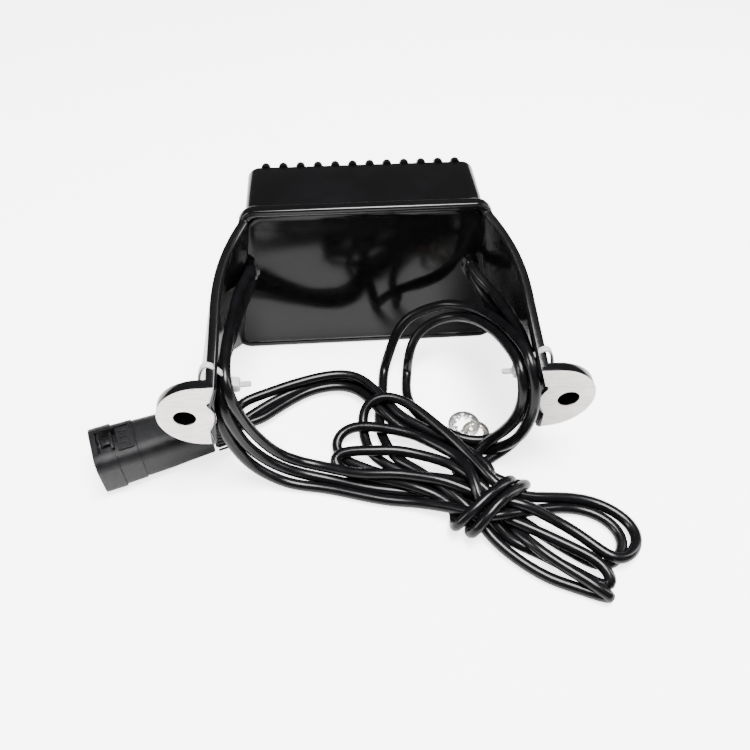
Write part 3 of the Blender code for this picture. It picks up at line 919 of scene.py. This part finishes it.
class Route:
    """Works out smooth lines for leads and straps."""

    @staticmethod
    def through(points: Sequence[Sequence[float]], spacing: float = 2.0, passes: int = 4,
                closed: bool = False) -> list[Vector]:
        """Return evenly spaced points on a smooth line through the route points.

        Args:
            points: The route points in millimetres.
            spacing: The distance between the line's points.
            passes: How often each point is drawn towards its neighbours.
            closed: Whether the line meets itself.

        Returns:
            The line in millimetres.
        """
        knots = [Vector(p) for p in points]
        if closed:
            knots = [knots[-1]] + knots + knots[:2]
        else:
            knots = [knots[0] * 2.0 - knots[1]] + knots + [knots[-1] * 2.0 - knots[-2]]
        dense: list[Vector] = []
        for index in range(1, len(knots) - 2):
            dense += Route.piece(*knots[index - 1:index + 3])
        dense.append(knots[-2])
        line = Route.even(dense, spacing)
        if closed:
            line.pop()
        count = len(line)
        for _ in range(passes):
            kept = [p.copy() for p in line]
            for index in range(0 if closed else 1, count if closed else count - 1):
                line[index] = kept[index] * 0.5 + (kept[index - 1] + kept[(index + 1) % count]) * 0.25
        return line

    @staticmethod
    def piece(a: Vector, b: Vector, c: Vector, d: Vector) -> list[Vector]:
        """Return points of a Catmull-Rom piece from b up to but not at c.

        Args:
            a: The point before.
            b: The start.
            c: The end.
            d: The point after.

        Returns:
            Sixteen points.
        """
        out = []
        for step in range(16):
            t = step / 16.0
            out.append((b * 2.0 + (c - a) * t + (a * 2.0 - b * 5.0 + c * 4.0 - d) * t * t
                        + (b * 3.0 - a - c * 3.0 + d) * t * t * t) * 0.5)
        return out

    @staticmethod
    def even(dense: Sequence[Vector], spacing: float) -> list[Vector]:
        """Return points at even distances along a dense line.

        Args:
            dense: The dense line.
            spacing: The distance wanted.

        Returns:
            The even line, with both ends kept.
        """
        total = Route.length(dense)
        count = max(8, round(total / spacing))
        out = [dense[0].copy()]
        gone = 0.0
        for a, b in zip(dense[:-1], dense[1:]):
            step = (b - a).length
            while len(out) < count and gone + step >= total * len(out) / count:
                out.append(a.lerp(b, (total * len(out) / count - gone) / max(step, 1e-9)))
            gone += step
        out.append(dense[-1].copy())
        return out

    @staticmethod
    def length(line: Sequence[Vector]) -> float:
        """Return the length of a line."""
        return sum((b - a).length for a, b in zip(line[:-1], line[1:]))


@dataclass
class Plug:
    """The two-way plug: the shell with its socket and window, and the sliding rear lock."""

    front: tuple[float, float] = (-122.2, -73.5)
    turn: float = 18.4
    girth: float = 1.2

    def point(self, along: float, across: float, up: float) -> Point:
        """Return a point of the plug in the part's frame.

        Args:
            along: Distance back from the plug's mouth.
            across: Distance to the left of its axis, before the plug's girth is applied.
            up: Height above the floor, before the plug's girth is applied.

        Returns:
            The point.
        """
        cosine = math.cos(math.radians(self.turn))
        sine = math.sin(math.radians(self.turn))
        aside = across * self.girth
        return (self.front[0] + along * cosine - aside * sine, self.front[1] + along * sine + aside * cosine,
                up * self.girth)

    def section(self, along: float, half: float, low: float, high: float, radius: float) -> list[Point]:
        """Return one rounded section across the plug.

        Args:
            along: Where it is.
            half: Half its width.
            low: Its lowest height.
            high: Its greatest height.
            radius: Its corner radius.

        Returns:
            The section's points.
        """
        outline = rounded([(half, high), (-half, high), (-half, low), (half, low)], [radius] * 4, 7)
        return [self.point(along, x, z) for x, z in outline]

    def block(self, name: str, span: tuple[float, float], half: tuple[float, float], up: tuple[float, float],
              body: str = UNIT, soft: float = 0.3) -> bpy.types.Object:
        """Build a small moulded block with rounded edges.

        Args:
            name: The piece's name.
            span: Its two ends along the plug.
            half: Its two sides across the plug.
            up: Its bottom and top.
            body: The body it rides on.
            soft: The width of its rounded edges.

        Returns:
            The block.
        """
        rings = [[self.point(along, half[0], up[0]), self.point(along, half[1], up[0]),
                  self.point(along, half[1], up[1]), self.point(along, half[0], up[1])] for along in span]
        piece = Maker.finish_piece(name, Maker.loft(rings), MOULDED, body)
        Maker.soften(piece, soft)
        return piece

    def build(self) -> None:
        """Build and dress the plug."""
        shell = self.build_shell()
        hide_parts("plug_housing")
        self.build_details()
        self.build_lock()

    def build_shell(self) -> bpy.types.Object:
        """Build the hollow shell.

        Returns:
            The shell.
        """
        rows = [(0.0, 9.5, 0.5, 19.1, 4.6), (0.25, 9.85, 0.15, 19.45, 4.8), (0.7, 10.0, 0.0, 19.6, 5.0),
                (9.0, 10.0, 0.0, 19.6, 5.0), (9.25, 9.9, 0.1, 19.5, 4.9), (9.3, 9.45, 0.45, 19.1, 4.8),
                (18.3, 9.4, 0.5, 19.0, 5.0), (18.5, 9.3, 0.6, 18.9, 5.0), (18.55, 9.0, 0.9, 18.5, 4.8),
                (19.1, 9.0, 0.9, 18.5, 4.8), (19.15, 9.2, 0.6, 18.75, 5.2), (30.0, 9.1, 0.6, 18.4, 5.4),
                (36.0, 8.8, 0.7, 17.6, 5.4), (42.0, 8.5, 0.8, 16.7, 5.2), (48.4, 8.2, 0.9, 15.9, 5.0),
                (49.0, 8.0, 1.05, 15.7, 4.8), (49.2, 7.6, 1.4, 15.3, 4.4)]
        shell = Maker.finish_piece("plug_shell", Maker.loft([self.section(*row) for row in rows]), MOULDED,
                                   angle=30.0)
        socket = Maker.loft([self.section(-1.0, 8.0, 2.4, 17.2, 2.6), self.section(0.6, 7.8, 2.6, 17.0, 2.4),
                             self.section(17.0, 7.8, 2.6, 17.0, 2.4)])
        window = Maker.loft([self.section(along, 4.9, 15.5, 22.0, 0.6) for along in (2.6, 11.0)])
        Maker.cut(shell, [socket, window])
        return shell

    def build_details(self) -> None:
        """Build the catch in the window, the ribs behind it and the keys in the mouth."""
        self.block("plug_catch_bar", (8.0, 9.4), (-3.6, 3.6), (17.2, 19.2))
        self.block("plug_catch_stem", (4.6, 8.2), (-1.1, 1.1), (17.0, 18.9))
        self.block("plug_catch_tongue", (3.4, 11.3), (-3.9, 3.9), (16.2, 17.1))
        for index, across in enumerate((-5.7, 4.9)):
            self.block(f"plug_guard_{index + 1}", (10.9, 17.6), (across, across + 0.8), (18.6, 19.85),
                       soft=0.2)
        self.block("plug_guard_back", (16.6, 17.5), (-5.2, 5.2), (18.6, 19.75), soft=0.2)
        for index in range(3):
            across = -2.6 + index * 2.6
            self.block(f"plug_thumb_rib_{index + 1}", (12.2, 15.4), (across - 0.35, across + 0.35),
                       (18.7, 19.5), soft=0.15)
        for index, across in enumerate((-7.7, 6.9)):
            self.block(f"plug_key_{index + 1}", (1.2, 16.5), (across, across + 0.8), (8.2, 9.4), soft=0.15)

    def build_lock(self) -> None:
        """Build the rear lock, which slides back."""
        top = self.block("lock_top", (46.0, 58.8), (-8.7, 8.7), (16.0, 17.6), LOCK, 0.4)
        self.block("lock_back", (57.2, 58.8), (-8.7, 8.7), (9.8, 17.3), LOCK, 0.4)
        for index in range(4):
            along = 48.2 + index * 2.3
            self.block(f"lock_rib_{index + 1}", (along, along + 1.0), (-6.6, 6.6), (17.4, 17.95), LOCK, 0.2)
        for index, (across, end) in enumerate(((-8.9, 58.0), (7.5, 53.4))):
            self.block(f"lock_cheek_{index + 1}", (49.8, end), (across, across + 1.4), (7.4, 16.6), LOCK,
                       0.35)
        for index in range(5):
            up = 5.2 + index * 2.1
            self.block(f"lock_grip_{index + 1}", (50.6, 57.4), (-9.25, -8.7), (up, up + 1.0), LOCK, 0.18)
        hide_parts("plug_rear_lock")


@dataclass
class RingTerminal:
    """A ring terminal: the ring, its crimped barrel and its red sleeve."""

    name: str
    centre: tuple[float, float]
    outer: float
    hole: float
    low: float
    thick: float
    teeth: int
    finish: Finish
    sleeve: tuple[Point, Point]

    def build(self) -> None:
        """Build and dress one terminal."""
        ring = self.build_ring()
        self.build_barrel()
        self.build_sleeve()
        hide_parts("ring_terminal_" + self.name)

    def hole_radius_at(self, turn: float) -> float:
        """Return the hole's radius in one direction, with the teeth standing into it."""
        if not self.teeth:
            return self.hole
        share = (turn * self.teeth / (2.0 * math.pi)) % 1.0
        rise = max(0.0, 1.0 - abs(share - 0.5) * 3.6)
        return self.hole * (1.0 - 0.30 * min(1.0, rise * 1.7))

    def build_ring(self) -> bpy.types.Object:
        """Build the ring with its rounded edges.

        Returns:
            The ring.
        """
        count = 96
        top = self.low + self.thick
        rings = []
        for share, up, inner in ((0.0, self.low + 0.15, False), (0.0, top - 0.2, False), (-0.25, top, False),
                                 (0.2, top, True), (0.0, top - 0.15, True), (0.0, self.low + 0.1, True),
                                 (0.2, self.low, True), (-0.25, self.low, False)):
            ring = []
            for index in range(count):
                turn = 2.0 * math.pi * index / count
                reach = (self.hole_radius_at(turn) if inner else self.outer) + share
                ring.append((self.centre[0] + reach * math.cos(turn),
                             self.centre[1] + reach * math.sin(turn), up))
            rings.append(ring)
        return Maker.finish_piece("ring_" + self.name, Maker.loft(rings, closed=True), self.finish,
                                  angle=40.0)

    def build_barrel(self) -> None:
        """Build the barrel, pinched by the crimping tool."""
        start = Vector((*self.centre, self.low + self.thick * 0.5))
        end = Vector(self.sleeve[0])
        way = (end - start).normalized()
        side = Vector((way.y, -way.x, 0.0)).normalized()
        reach = (end - start).length + 1.6
        rings = []
        for step in range(13):
            share = step / 12.0
            along = self.outer - 0.9 + (reach - self.outer + 0.9) * share
            blend = min(1.0, share * 2.2)
            pinch = 0.25 if step in (8, 10) else 0.0
            wide = 2.3 - 0.5 * blend - pinch * 0.4
            tall = 0.45 + 1.15 * blend - pinch
            middle = start + way * along
            middle.z = start.z + (end.z - start.z) * blend
            rings.append([middle + side * (wide * math.cos(t)) + Vector((0.0, 0.0, tall * math.sin(t)))
                          for t in (2.0 * math.pi * i / 24 for i in range(24))])
        Maker.finish_piece("barrel_" + self.name, Maker.loft(rings), self.finish, angle=45.0)

    def build_sleeve(self) -> None:
        """Build the red sleeve behind the barrel, with rolled ends."""
        start = Vector(self.sleeve[0])
        end = Vector(self.sleeve[1])
        way = (end - start).normalized()
        side = Vector((way.y, -way.x, 0.0)).normalized()
        lift = side.cross(way)
        rings = []
        for share, radius in ((0.0, 1.75), (0.03, 1.95), (0.1, 2.05), (0.5, 2.0), (0.9, 2.05), (0.97, 1.95),
                              (1.0, 1.75)):
            middle = start.lerp(end, share)
            rings.append([middle + side * (radius * math.cos(t)) + lift * (radius * math.sin(t))
                          for t in (2.0 * math.pi * i / 24 for i in range(24))])
        sleeve = Maker.finish_piece("sleeve_" + self.name, Maker.loft(rings), RED, angle=50.0)
        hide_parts("ring_sleeve_" + self.name)


@dataclass
class Lead:
    """One insulated lead, from the resin to its terminal."""

    name: str
    exit: Point
    far_end: str
    nodes: tuple[str, ...]
    pieces: tuple[str, ...]
    route: Sequence[Point]

    def build(self, line: Sequence[Vector]) -> float:
        """Build the lead and log its length.

        Args:
            line: Its settled centreline in millimetres.

        Returns:
            Its length in metres.
        """
        piece = Maker.tube(self.name, line, WIRE_D, VINYL)
        length = Route.length(line) * MM
        tuple(place(self.exit))
        if self.nodes:
            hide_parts(*self.nodes)
        LOG.info("lead %s is %.0f mm long", self.name, length / MM)
        return length


@dataclass
class Settling:
    """Moves leads apart until they lie beside and on each other, with the floor under them."""

    gap: float = 4.6
    rounds: int = 70
    reach: int = 7
    held: int = 4

    def run(self, lines: list[list[Vector]]) -> list[list[Vector]]:
        """Return the lines moved apart.

        Args:
            lines: The leads' centrelines in millimetres, evenly spaced.

        Returns:
            The settled lines.
        """
        start = [[p.copy() for p in line] for line in lines]
        now = [[p.copy() for p in line] for line in lines]
        for _ in range(self.rounds):
            self.push(now)
            for line, first in zip(now, start):
                self.ease(line, first)
        for line in now:
            self.round_off(line)
        return now

    @staticmethod
    def round_off(line: list[Vector]) -> None:
        """Take small kinks out of a line.

        Args:
            line: The line, which is changed.
        """
        for _ in range(5):
            kept = [p.copy() for p in line]
            for index in range(1, len(line) - 1):
                line[index] = kept[index] * 0.5 + (kept[index - 1] + kept[index + 1]) * 0.25
                line[index].z = max(line[index].z, LOWEST)

    def push(self, lines: list[list[Vector]]) -> None:
        """Move points that lie too close to each other half of the way apart.

        Args:
            lines: The lines, which are changed.
        """
        owners = [(which, index) for which, line in enumerate(lines) for index in range(len(line))]
        tree = KDTree(len(owners))
        for number, (which, index) in enumerate(owners):
            tree.insert(lines[which][index], number)
        tree.balance()
        moves = [Vector() for _ in owners]
        for number, (which, index) in enumerate(owners):
            here = lines[which][index]
            for other, near, distance in tree.find_range(here, self.gap):
                whose, at = owners[near]
                if near == number or (whose == which and abs(at - index) < self.reach):
                    continue
                upward = 1.0 if which > whose else -1.0
                away = here - other if distance > 0.05 else Vector((0.0, 0.0, upward))
                moves[number] += away.normalized() * (self.gap - distance) * 0.22
        for number, (which, index) in enumerate(owners):
            if self.held <= index < len(lines[which]) - self.held:
                step = moves[number]
                lines[which][index] += step if step.length < 1.0 else step.normalized()

    def ease(self, line: list[Vector], first: Sequence[Vector]) -> None:
        """Smooth how far a line has moved, and keep it on the floor.

        Args:
            line: The line, which is changed.
            first: Where it started.
        """
        for _ in range(4):
            moved = [p - q for p, q in zip(line, first)]
            for index in range(1, len(line) - 1):
                shift = moved[index] * 0.5 + (moved[index - 1] + moved[index + 1]) * 0.25
                line[index] = first[index] + shift
        for point in line:
            point.z = max(point.z, LOWEST)


class Harness:
    """All five leads, tied and knotted together."""

    plug_pieces = ("plug_shell",)
    red_marks = {"lead_ring_plain": (44.5, -80.0, 5.0), "lead_ring_star": (36.0, -92.0, 5.0)}
    wrap: list[Point] = [
        (22, -94, 4), (30, -97, 2.6), (33, -102, 2.4), (31.5, -108, 2.6), (29.5, -112.5, 5.5),
        (32, -113, 11), (37, -110, 15), (44, -105, 16.5), (51, -99.5, 16), (56, -95.5, 12.5),
        (58, -93.5, 7.5), (55.5, -93.5, 3), (48, -99, 2.4), (41, -106, 2.4), (37, -112, 2.6),
        (36, -117.5, 6), (39, -116.5, 11.5), (46, -110, 15.5), (54, -104, 16), (60.5, -99, 12),
        (63, -96, 7), (60, -94, 3), (53, -92, 2.4), (45, -87, 2.4), (40, -80, 2.4), (35, -73, 1.9),
        (31, -68, 1.9), (22, -61.5, 1.9), (12, -54, 1.9), (6, -45, 1.9), (0.5, -36.5, 1.9),
        (-5, -29.5, 1.9), (-13, -26.5, 1.9), (-23, -28, 1.9), (-34, -32, 1.9), (-46, -38, 1.9),
        (-56, -45, 1.9), (-64, -51.5, 2.2), (-70, -56, 4.0), (-75.5, -58.7, 5.6),
    ]

    @staticmethod
    def leads() -> list[Lead]:
        """Return the five leads with their routes."""
        return [
            Lead("lead_plug_a", (-53.5, -2.2, 55), "plug", ("lead_left_1", "plug_lead_1", "tied_hank"),
                 Harness.plug_pieces, [
                    (-53.5, -2, 55), (-55, -8, 55), (-58, -18, 56), (-59.5, -34, 57.5), (-61, -50, 59),
                    (-61.6, -62, 59.6), (-61.6, -71, 58.5), (-60.5, -75.5, 52), (-58, -76, 42),
                    (-53, -75.5, 28), (-44.5, -76, 14), (-34, -77, 6.5), (-22, -80, 4.5), (-8, -86, 5),
                    (9, -89, 5), (26, -94, 6), (41, -101, 7), (56, -108, 9), (66, -112, 7), (77, -118, 5.5),
                    (85, -125, 4.5), (92, -132, 4), (98, -131, 3.5), (105, -124, 2.5), (105, -116, 2.5),
                    (99, -109, 3), (90, -104, 3.5), (77, -102, 5), (64, -102, 8), (55, -101, 12),
                    (49, -97, 13), (40, -83, 12.5), (34, -73, 12), (27, -63, 11), (20, -54, 10.5),
                    (12, -47, 10.5), (4, -45, 10), (-2, -47, 8.5), (-5, -51, 6), (-5, -58, 3), (-4, -67, 2),
                    (0, -74, 2), (9, -81, 2), (23, -87, 2), (36, -92, 4), (45, -95, 6), (49, -92, 7),
                    (45, -86, 7), (39, -78, 6), (32, -70, 5.5), (22, -62, 5.5), (12, -54, 5.5),
                    (6, -44, 5.5), (1, -37, 5.5), (-5, -30, 5.5), (-13, -27, 5), (-23, -28, 5),
                    (-34, -31, 5), (-50, -36, 4.5), (-63, -41, 4), (-64, -47, 4.5), (-69, -53, 5.5),
                    (-76, -57, 5.5),
                 ]),
            Lead("lead_plug_b", (-53.5, -2.2, 51.5), "plug", ("lead_left_2", "plug_lead_2"),
                 Harness.plug_pieces, [
                    (-53.5, -2, 51.5), (-55, -8, 51), (-58, -18, 51), (-60, -34, 52.5), (-61.8, -50, 54),
                    (-62.6, -61, 54.6), (-62.8, -71, 53), (-62, -76, 46.5), (-60, -77.5, 36),
                    (-56, -78, 23.5), (-47.6, -79, 12), (-36.5, -80.5, 5), (-22, -83, 2), (-8, -87, 2),
                    (9, -90, 2), (26, -95, 3), (42, -103, 4), (54, -112, 5.5), (64, -118, 5.5),
                    (75, -125, 5.5), (86, -133, 5.5), (89, -139, 5), (90, -143, 3.5), (87, -143, 2),
                    (82, -139, 2), (71, -130, 2), (61, -122, 2), (49, -115, 3), (44, -108, 6), (41, -99, 9),
                    (39, -88, 9.5), (33, -79, 9), (26, -73, 8.5), (19, -67, 8), (9, -63, 8), (-1, -60, 7.5),
                    (-10, -59, 7), (-16, -61, 5.5), (-19, -66, 4), (-18, -71, 3), (-12, -76, 2),
                    (1, -82, 2), (16, -88, 2), (31, -91, 2), (40, -94, 3), (46, -92, 4), (44, -86, 4),
                    (39, -79, 3), (32, -72, 2.5), (22, -65, 2), (12, -58, 2), (3, -48, 2.5), (-2, -40, 2.5),
                    (-6, -35, 2.5), (-13, -31, 2.5), (-22, -31, 3), (-31, -33, 3), (-43, -41, 3.5),
                    (-54, -50, 4), (-62, -52, 4.5), (-67, -57, 5.5), (-74, -60, 5.5),
                 ]),
            Lead("lead_plug_c", (-53.5, -2.2, 48), "plug", (), Harness.plug_pieces, [
                (-53.5, -2, 48), (-55, -8, 46.5), (-58, -18, 46), (-60.5, -34, 47.5), (-62.6, -50, 49),
                (-63.6, -61, 49.6), (-64, -70, 48), (-63, -77, 40), (-61.5, -78.5, 31), (-59, -79.5, 23),
                (-54.5, -81, 14), (-47.5, -82.5, 7), (-38, -85, 3), (-23, -87, 2), (-11, -90, 2),
                (4, -94, 2), (18, -96, 2.5), (33, -101, 5), (45, -108, 8), (54, -109, 9), (65, -106, 6),
                (77, -104, 3), (87, -105, 2), (96, -111, 2), (100, -118, 2), (100, -125, 2), (94, -132, 2),
                (87, -133, 2.5), (78, -127, 2.5), (67, -119, 2.5), (56, -112, 4), (46, -105, 6),
                (40, -93, 6.5), (33, -84, 6.5), (23, -79, 6), (10, -75, 5.5), (-2, -74, 5.5), (-13, -73, 5),
                (-19, -74, 4), (-21, -76, 3.5), (-19, -80, 2.5), (-14, -83, 2), (-6, -86, 2),
            ] + Harness.wrap),
            Lead("lead_ring_star", (49, -2.2, 52), "connector", ("lead_right_1", "loop_lead_1"),
                 ("ring_star", "barrel_star", "sleeve_star"), [
                    (49, -2, 52), (50, -8, 51.5), (56, -18, 50), (59, -32, 52), (61, -46, 55),
                    (62, -60, 57), (62.4, -69, 55), (65.5, -73, 44), (66, -73, 32), (64.5, -73, 20),
                    (60, -74, 10), (53, -76, 6), (47, -80, 4), (43, -86, 3), (43, -95, 4), (47, -104, 4),
                    (53, -113, 3.5), (60, -124, 5), (70, -133, 5), (80, -141, 5), (86, -146, 4),
                    (90, -147, 3), (86, -145, 2), (75, -140, 2), (66, -136, 2), (56, -128, 2),
                    (48, -119, 2), (41, -109, 2.5), (32, -100, 4), (22, -91, 3), (15, -85, 2), (8, -78, 2),
                    (5, -69, 2), (3, -59, 2), (4, -47, 2), (5, -35, 2), (7, -22, 3), (9, -20, 9),
                    (13, -14, 18), (18, -10, 25), (25, -9, 29.5), (38.5, -10, 35), (51, -22, 42),
                    (57, -42, 52), (59, -58, 60), (60.5, -69, 63), (62.5, -77.5, 57), (63, -82, 43),
                    (60.5, -81.5, 25), (54.5, -78, 11), (47.5, -75, 4.5), (42, -71.5, 2.5),
                    (39.5, -67, 2.5), (38, -64, 2.5),
                 ]),
            Lead("lead_ring_plain", (49, -2.2, 48), "connector", ("lead_right_2", "loop_lead_2"),
                 ("ring_plain", "barrel_plain", "sleeve_plain"), [
                    (49, -2, 48), (50, -8, 47.5), (55, -18, 45), (59.5, -32, 47), (62, -46, 49.5),
                    (63.3, -58, 51.5), (63.5, -68, 49.5), (65, -70, 36), (64.5, -69, 24), (60.5, -69, 14),
                    (54, -71, 8), (47, -71, 5.5), (40, -70, 5.5), (34, -66, 5.5), (28, -61, 5.5),
                    (24, -56, 4), (19, -47, 2), (17, -38, 2), (19, -23, 2), (19, -24, 12), (22, -17, 19),
                    (30, -13, 25.5), (41, -14, 31), (49.5, -24, 38.5), (54.5, -42, 49), (56, -57, 56),
                    (57.5, -70, 59), (58.8, -78, 51), (58.5, -79, 37), (55, -76.5, 20), (50, -75, 9),
                    (45.5, -78, 4), (41, -84, 4), (38, -90, 6), (35.5, -88, 6), (36, -82, 3),
                    (38, -76, 2.5), (40, -71, 2.5), (43, -67, 2.5),
                 ]),
        ]

    def build(self) -> None:
        """Build every lead on its settled line."""
        leads = self.leads()
        lines = Settling().run([Route.through(lead.route, 2.0, 4) for lead in leads])
        for lead, line in zip(leads, lines):
            if lead.name in self.red_marks:
                band = f"red_band_{lead.name}_1"
                self.build_mark(band, line, self.red_marks[lead.name])
                lead.pieces += (band,)
            lead.build(line)

    @staticmethod
    def build_mark(name: str, line: Sequence[Vector], target: Point) -> None:
        """Build a short red band round a lead.

        Args:
            name: The band's name.
            line: The lead's line.
            target: The point that the band is nearest to.
        """
        spots = [(point - Vector(target)).length for point in line[:-8]]
        at = spots.index(min(spots))
        rings = []
        for step, radius in ((-2, 2.45), (-1.9, 2.6), (-1, 2.62), (0, 2.6), (1, 2.62), (1.9, 2.6), (2, 2.45)):
            low = math.floor(at + step)
            middle = line[low].lerp(line[low + 1], at + step - low)
            way = (line[low + 1] - line[low]).normalized()
            side = way.cross(Vector((0.0, 0.0, 1.0))).normalized()
            lift = side.cross(way)
            rings.append([middle + (side * math.cos(t) + lift * math.sin(t)) * radius
                          for t in (2.0 * math.pi * i / 20 for i in range(20))])
        Maker.finish_piece(name, Maker.loft(rings), RED, angle=50.0)


class Interior:
    """The parts under the resin and inside the plug, which keep the CAD model's shapes."""

    finishes = {
        "thermal_pad": PAD, **{f"rectifier_module_{number}": MOULDED for number in (1, 2, 3, 4)},
        "clamp_bar": STEEL,
        "clamp_screw_left": STEEL, "clamp_screw_right": STEEL, "circuit_board": LAMINATE,
        "control_chip": MOULDED, "filter_capacitor": VINYL, "plug_seal": SEAL, "plug_terminal_1": TIN,
        "plug_terminal_2": TIN,
    }

    def build(self) -> None:
        """Give each inner part its finish."""
        for name, finish in self.finishes.items():
            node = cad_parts[name]
            for slot in node.material_slots:
                slot.material = finish.build()
            LOG.info("dressed %s", name)


@dataclass
class Studio:
    """The pale floor, the soft lights and the camera."""

    eye: Point = (-0.01834, -0.24461, 0.28452)
    tilt: Point = (39.93, -0.72, -4.27)
    lens: float = 35.55
    backdrop: float = 3.3
    sky_gain: float = 2.2
    sky_low: float = 0.12
    lamp_size: tuple[float, float] = (0.25, 0.9)

    def build(self) -> None:
        """Build the whole studio."""
        self.build_camera()
        self.build_floor()
        self.build_world()
        self.build_lamp("lamp_top", (0.10, -0.10, 1.1), (0.0, -0.05, 0.0), (0.60, 0.45), 52.0)
        self.build_lamp("lamp_left", (-1.1, -0.2, 0.6), (0.0, 0.0, 0.03), self.lamp_size, 14.0)
        self.build_lamp("lamp_right", (1.1, 0.0, 0.6), (0.0, 0.0, 0.03), self.lamp_size, 12.0)

    def build_camera(self) -> None:
        """Build the camera."""
        data = bpy.data.cameras.new("camera")
        data.lens = self.lens
        data.sensor_width = 36.0
        data.dof.use_dof = False
        camera = Maker.link("camera", data)
        camera.location = self.eye
        camera.rotation_euler = [math.radians(a) for a in self.tilt]
        bpy.context.scene.camera = camera

    def build_floor(self) -> None:
        """Build the pale floor."""
        build = bmesh.new()
        bmesh.ops.create_grid(build, x_segments=8, y_segments=8, size=9.0)
        mesh = bpy.data.meshes.new("floor")
        build.to_mesh(mesh)
        build.free()
        floor = Maker.link("floor", mesh)
        material = bpy.data.materials.new("floor_white")
        graph = Graph(material)
        mottle = graph.noise(3.0, 3.0, graph.stretched(EVEN))
        colour = graph.mix(mottle, (0.93, 0.925, 0.92), (0.95, 0.945, 0.94))
        shader = graph.add("ShaderNodeBsdfPrincipled", None, Base_Color=colour, Roughness=0.9)
        glow = graph.add("ShaderNodeEmission", None, Color=colour, Strength=self.seen_glow(graph))
        both = graph.add("ShaderNodeAddShader", None, _0=shader.outputs[0], _1=glow.outputs[0])
        graph.add("ShaderNodeOutputMaterial", None, Surface=both.outputs[0])
        mesh.materials.append(material)

    def seen_glow(self, graph: Graph) -> Shade:
        """Return how strongly the plain backdrop glows where it is looked at directly.

        Args:
            graph: The graph to build in.

        Returns:
            The strength, which is nothing for light that bounces.
        """
        rays = graph.add("ShaderNodeLightPath")
        return Shade(graph, rays.outputs["Is Camera Ray"]) * self.backdrop

    def build_world(self) -> None:
        """Build the even surroundings, white where they are seen and dim where they are reflected."""
        world = bpy.data.worlds.new("surroundings")
        graph = Graph(world)
        strength = self.seen_glow(graph) * self.sky_gain + self.sky_low
        sky = graph.add("ShaderNodeBackground", None, Color=(1.0, 0.995, 0.985, 1.0), Strength=strength)
        graph.add("ShaderNodeOutputWorld", None, Surface=sky.outputs[0])
        bpy.context.scene.world = world

    @staticmethod
    def build_lamp(name: str, where: Point, target: Point, size: tuple[float, float], power: float) -> None:
        """Build one soft lamp that points at a target.

        Args:
            name: The lamp's name.
            where: Its place in metres.
            target: What it points at.
            size: Its width and height.
            power: Its power in watts.
        """
        data = bpy.data.lights.new(name, "AREA")
        data.shape = "RECTANGLE"
        data.size, data.size_y = size
        data.energy = power
        lamp = Maker.link(name, data)
        lamp.location = where
        lamp.rotation_euler = (Vector(target) - Vector(where)).to_track_quat("-Z", "Y").to_euler()


def main() -> None:
    """Build every piece in order."""
    logging.basicConfig(level=logging.INFO, format="%(message)s")
    Studio().build()
    housing = Housing()
    housing.build()
    Potting().build(housing)
    for side in Side:
        CableTie(side).build()
    Plug().build()
    RingTerminal("star", (42.6, -57.0), outer=7.4, hole=5.0, low=1.2, thick=1.0, teeth=8, finish=ZINC,
                 sleeve=((37.8, -63.4, 2.3), (34.9, -67.3, 2.3))).build()
    RingTerminal("plain", (47.6, -61.0), outer=6.4, hole=3.6, low=0.05, thick=0.9, teeth=0, finish=TIN,
                 sleeve=((43.5, -66.5, 2.3), (38.6, -73.0, 2.3))).build()
    Interior().build()
    Harness().build()


if __name__ == "__main__":
    main()
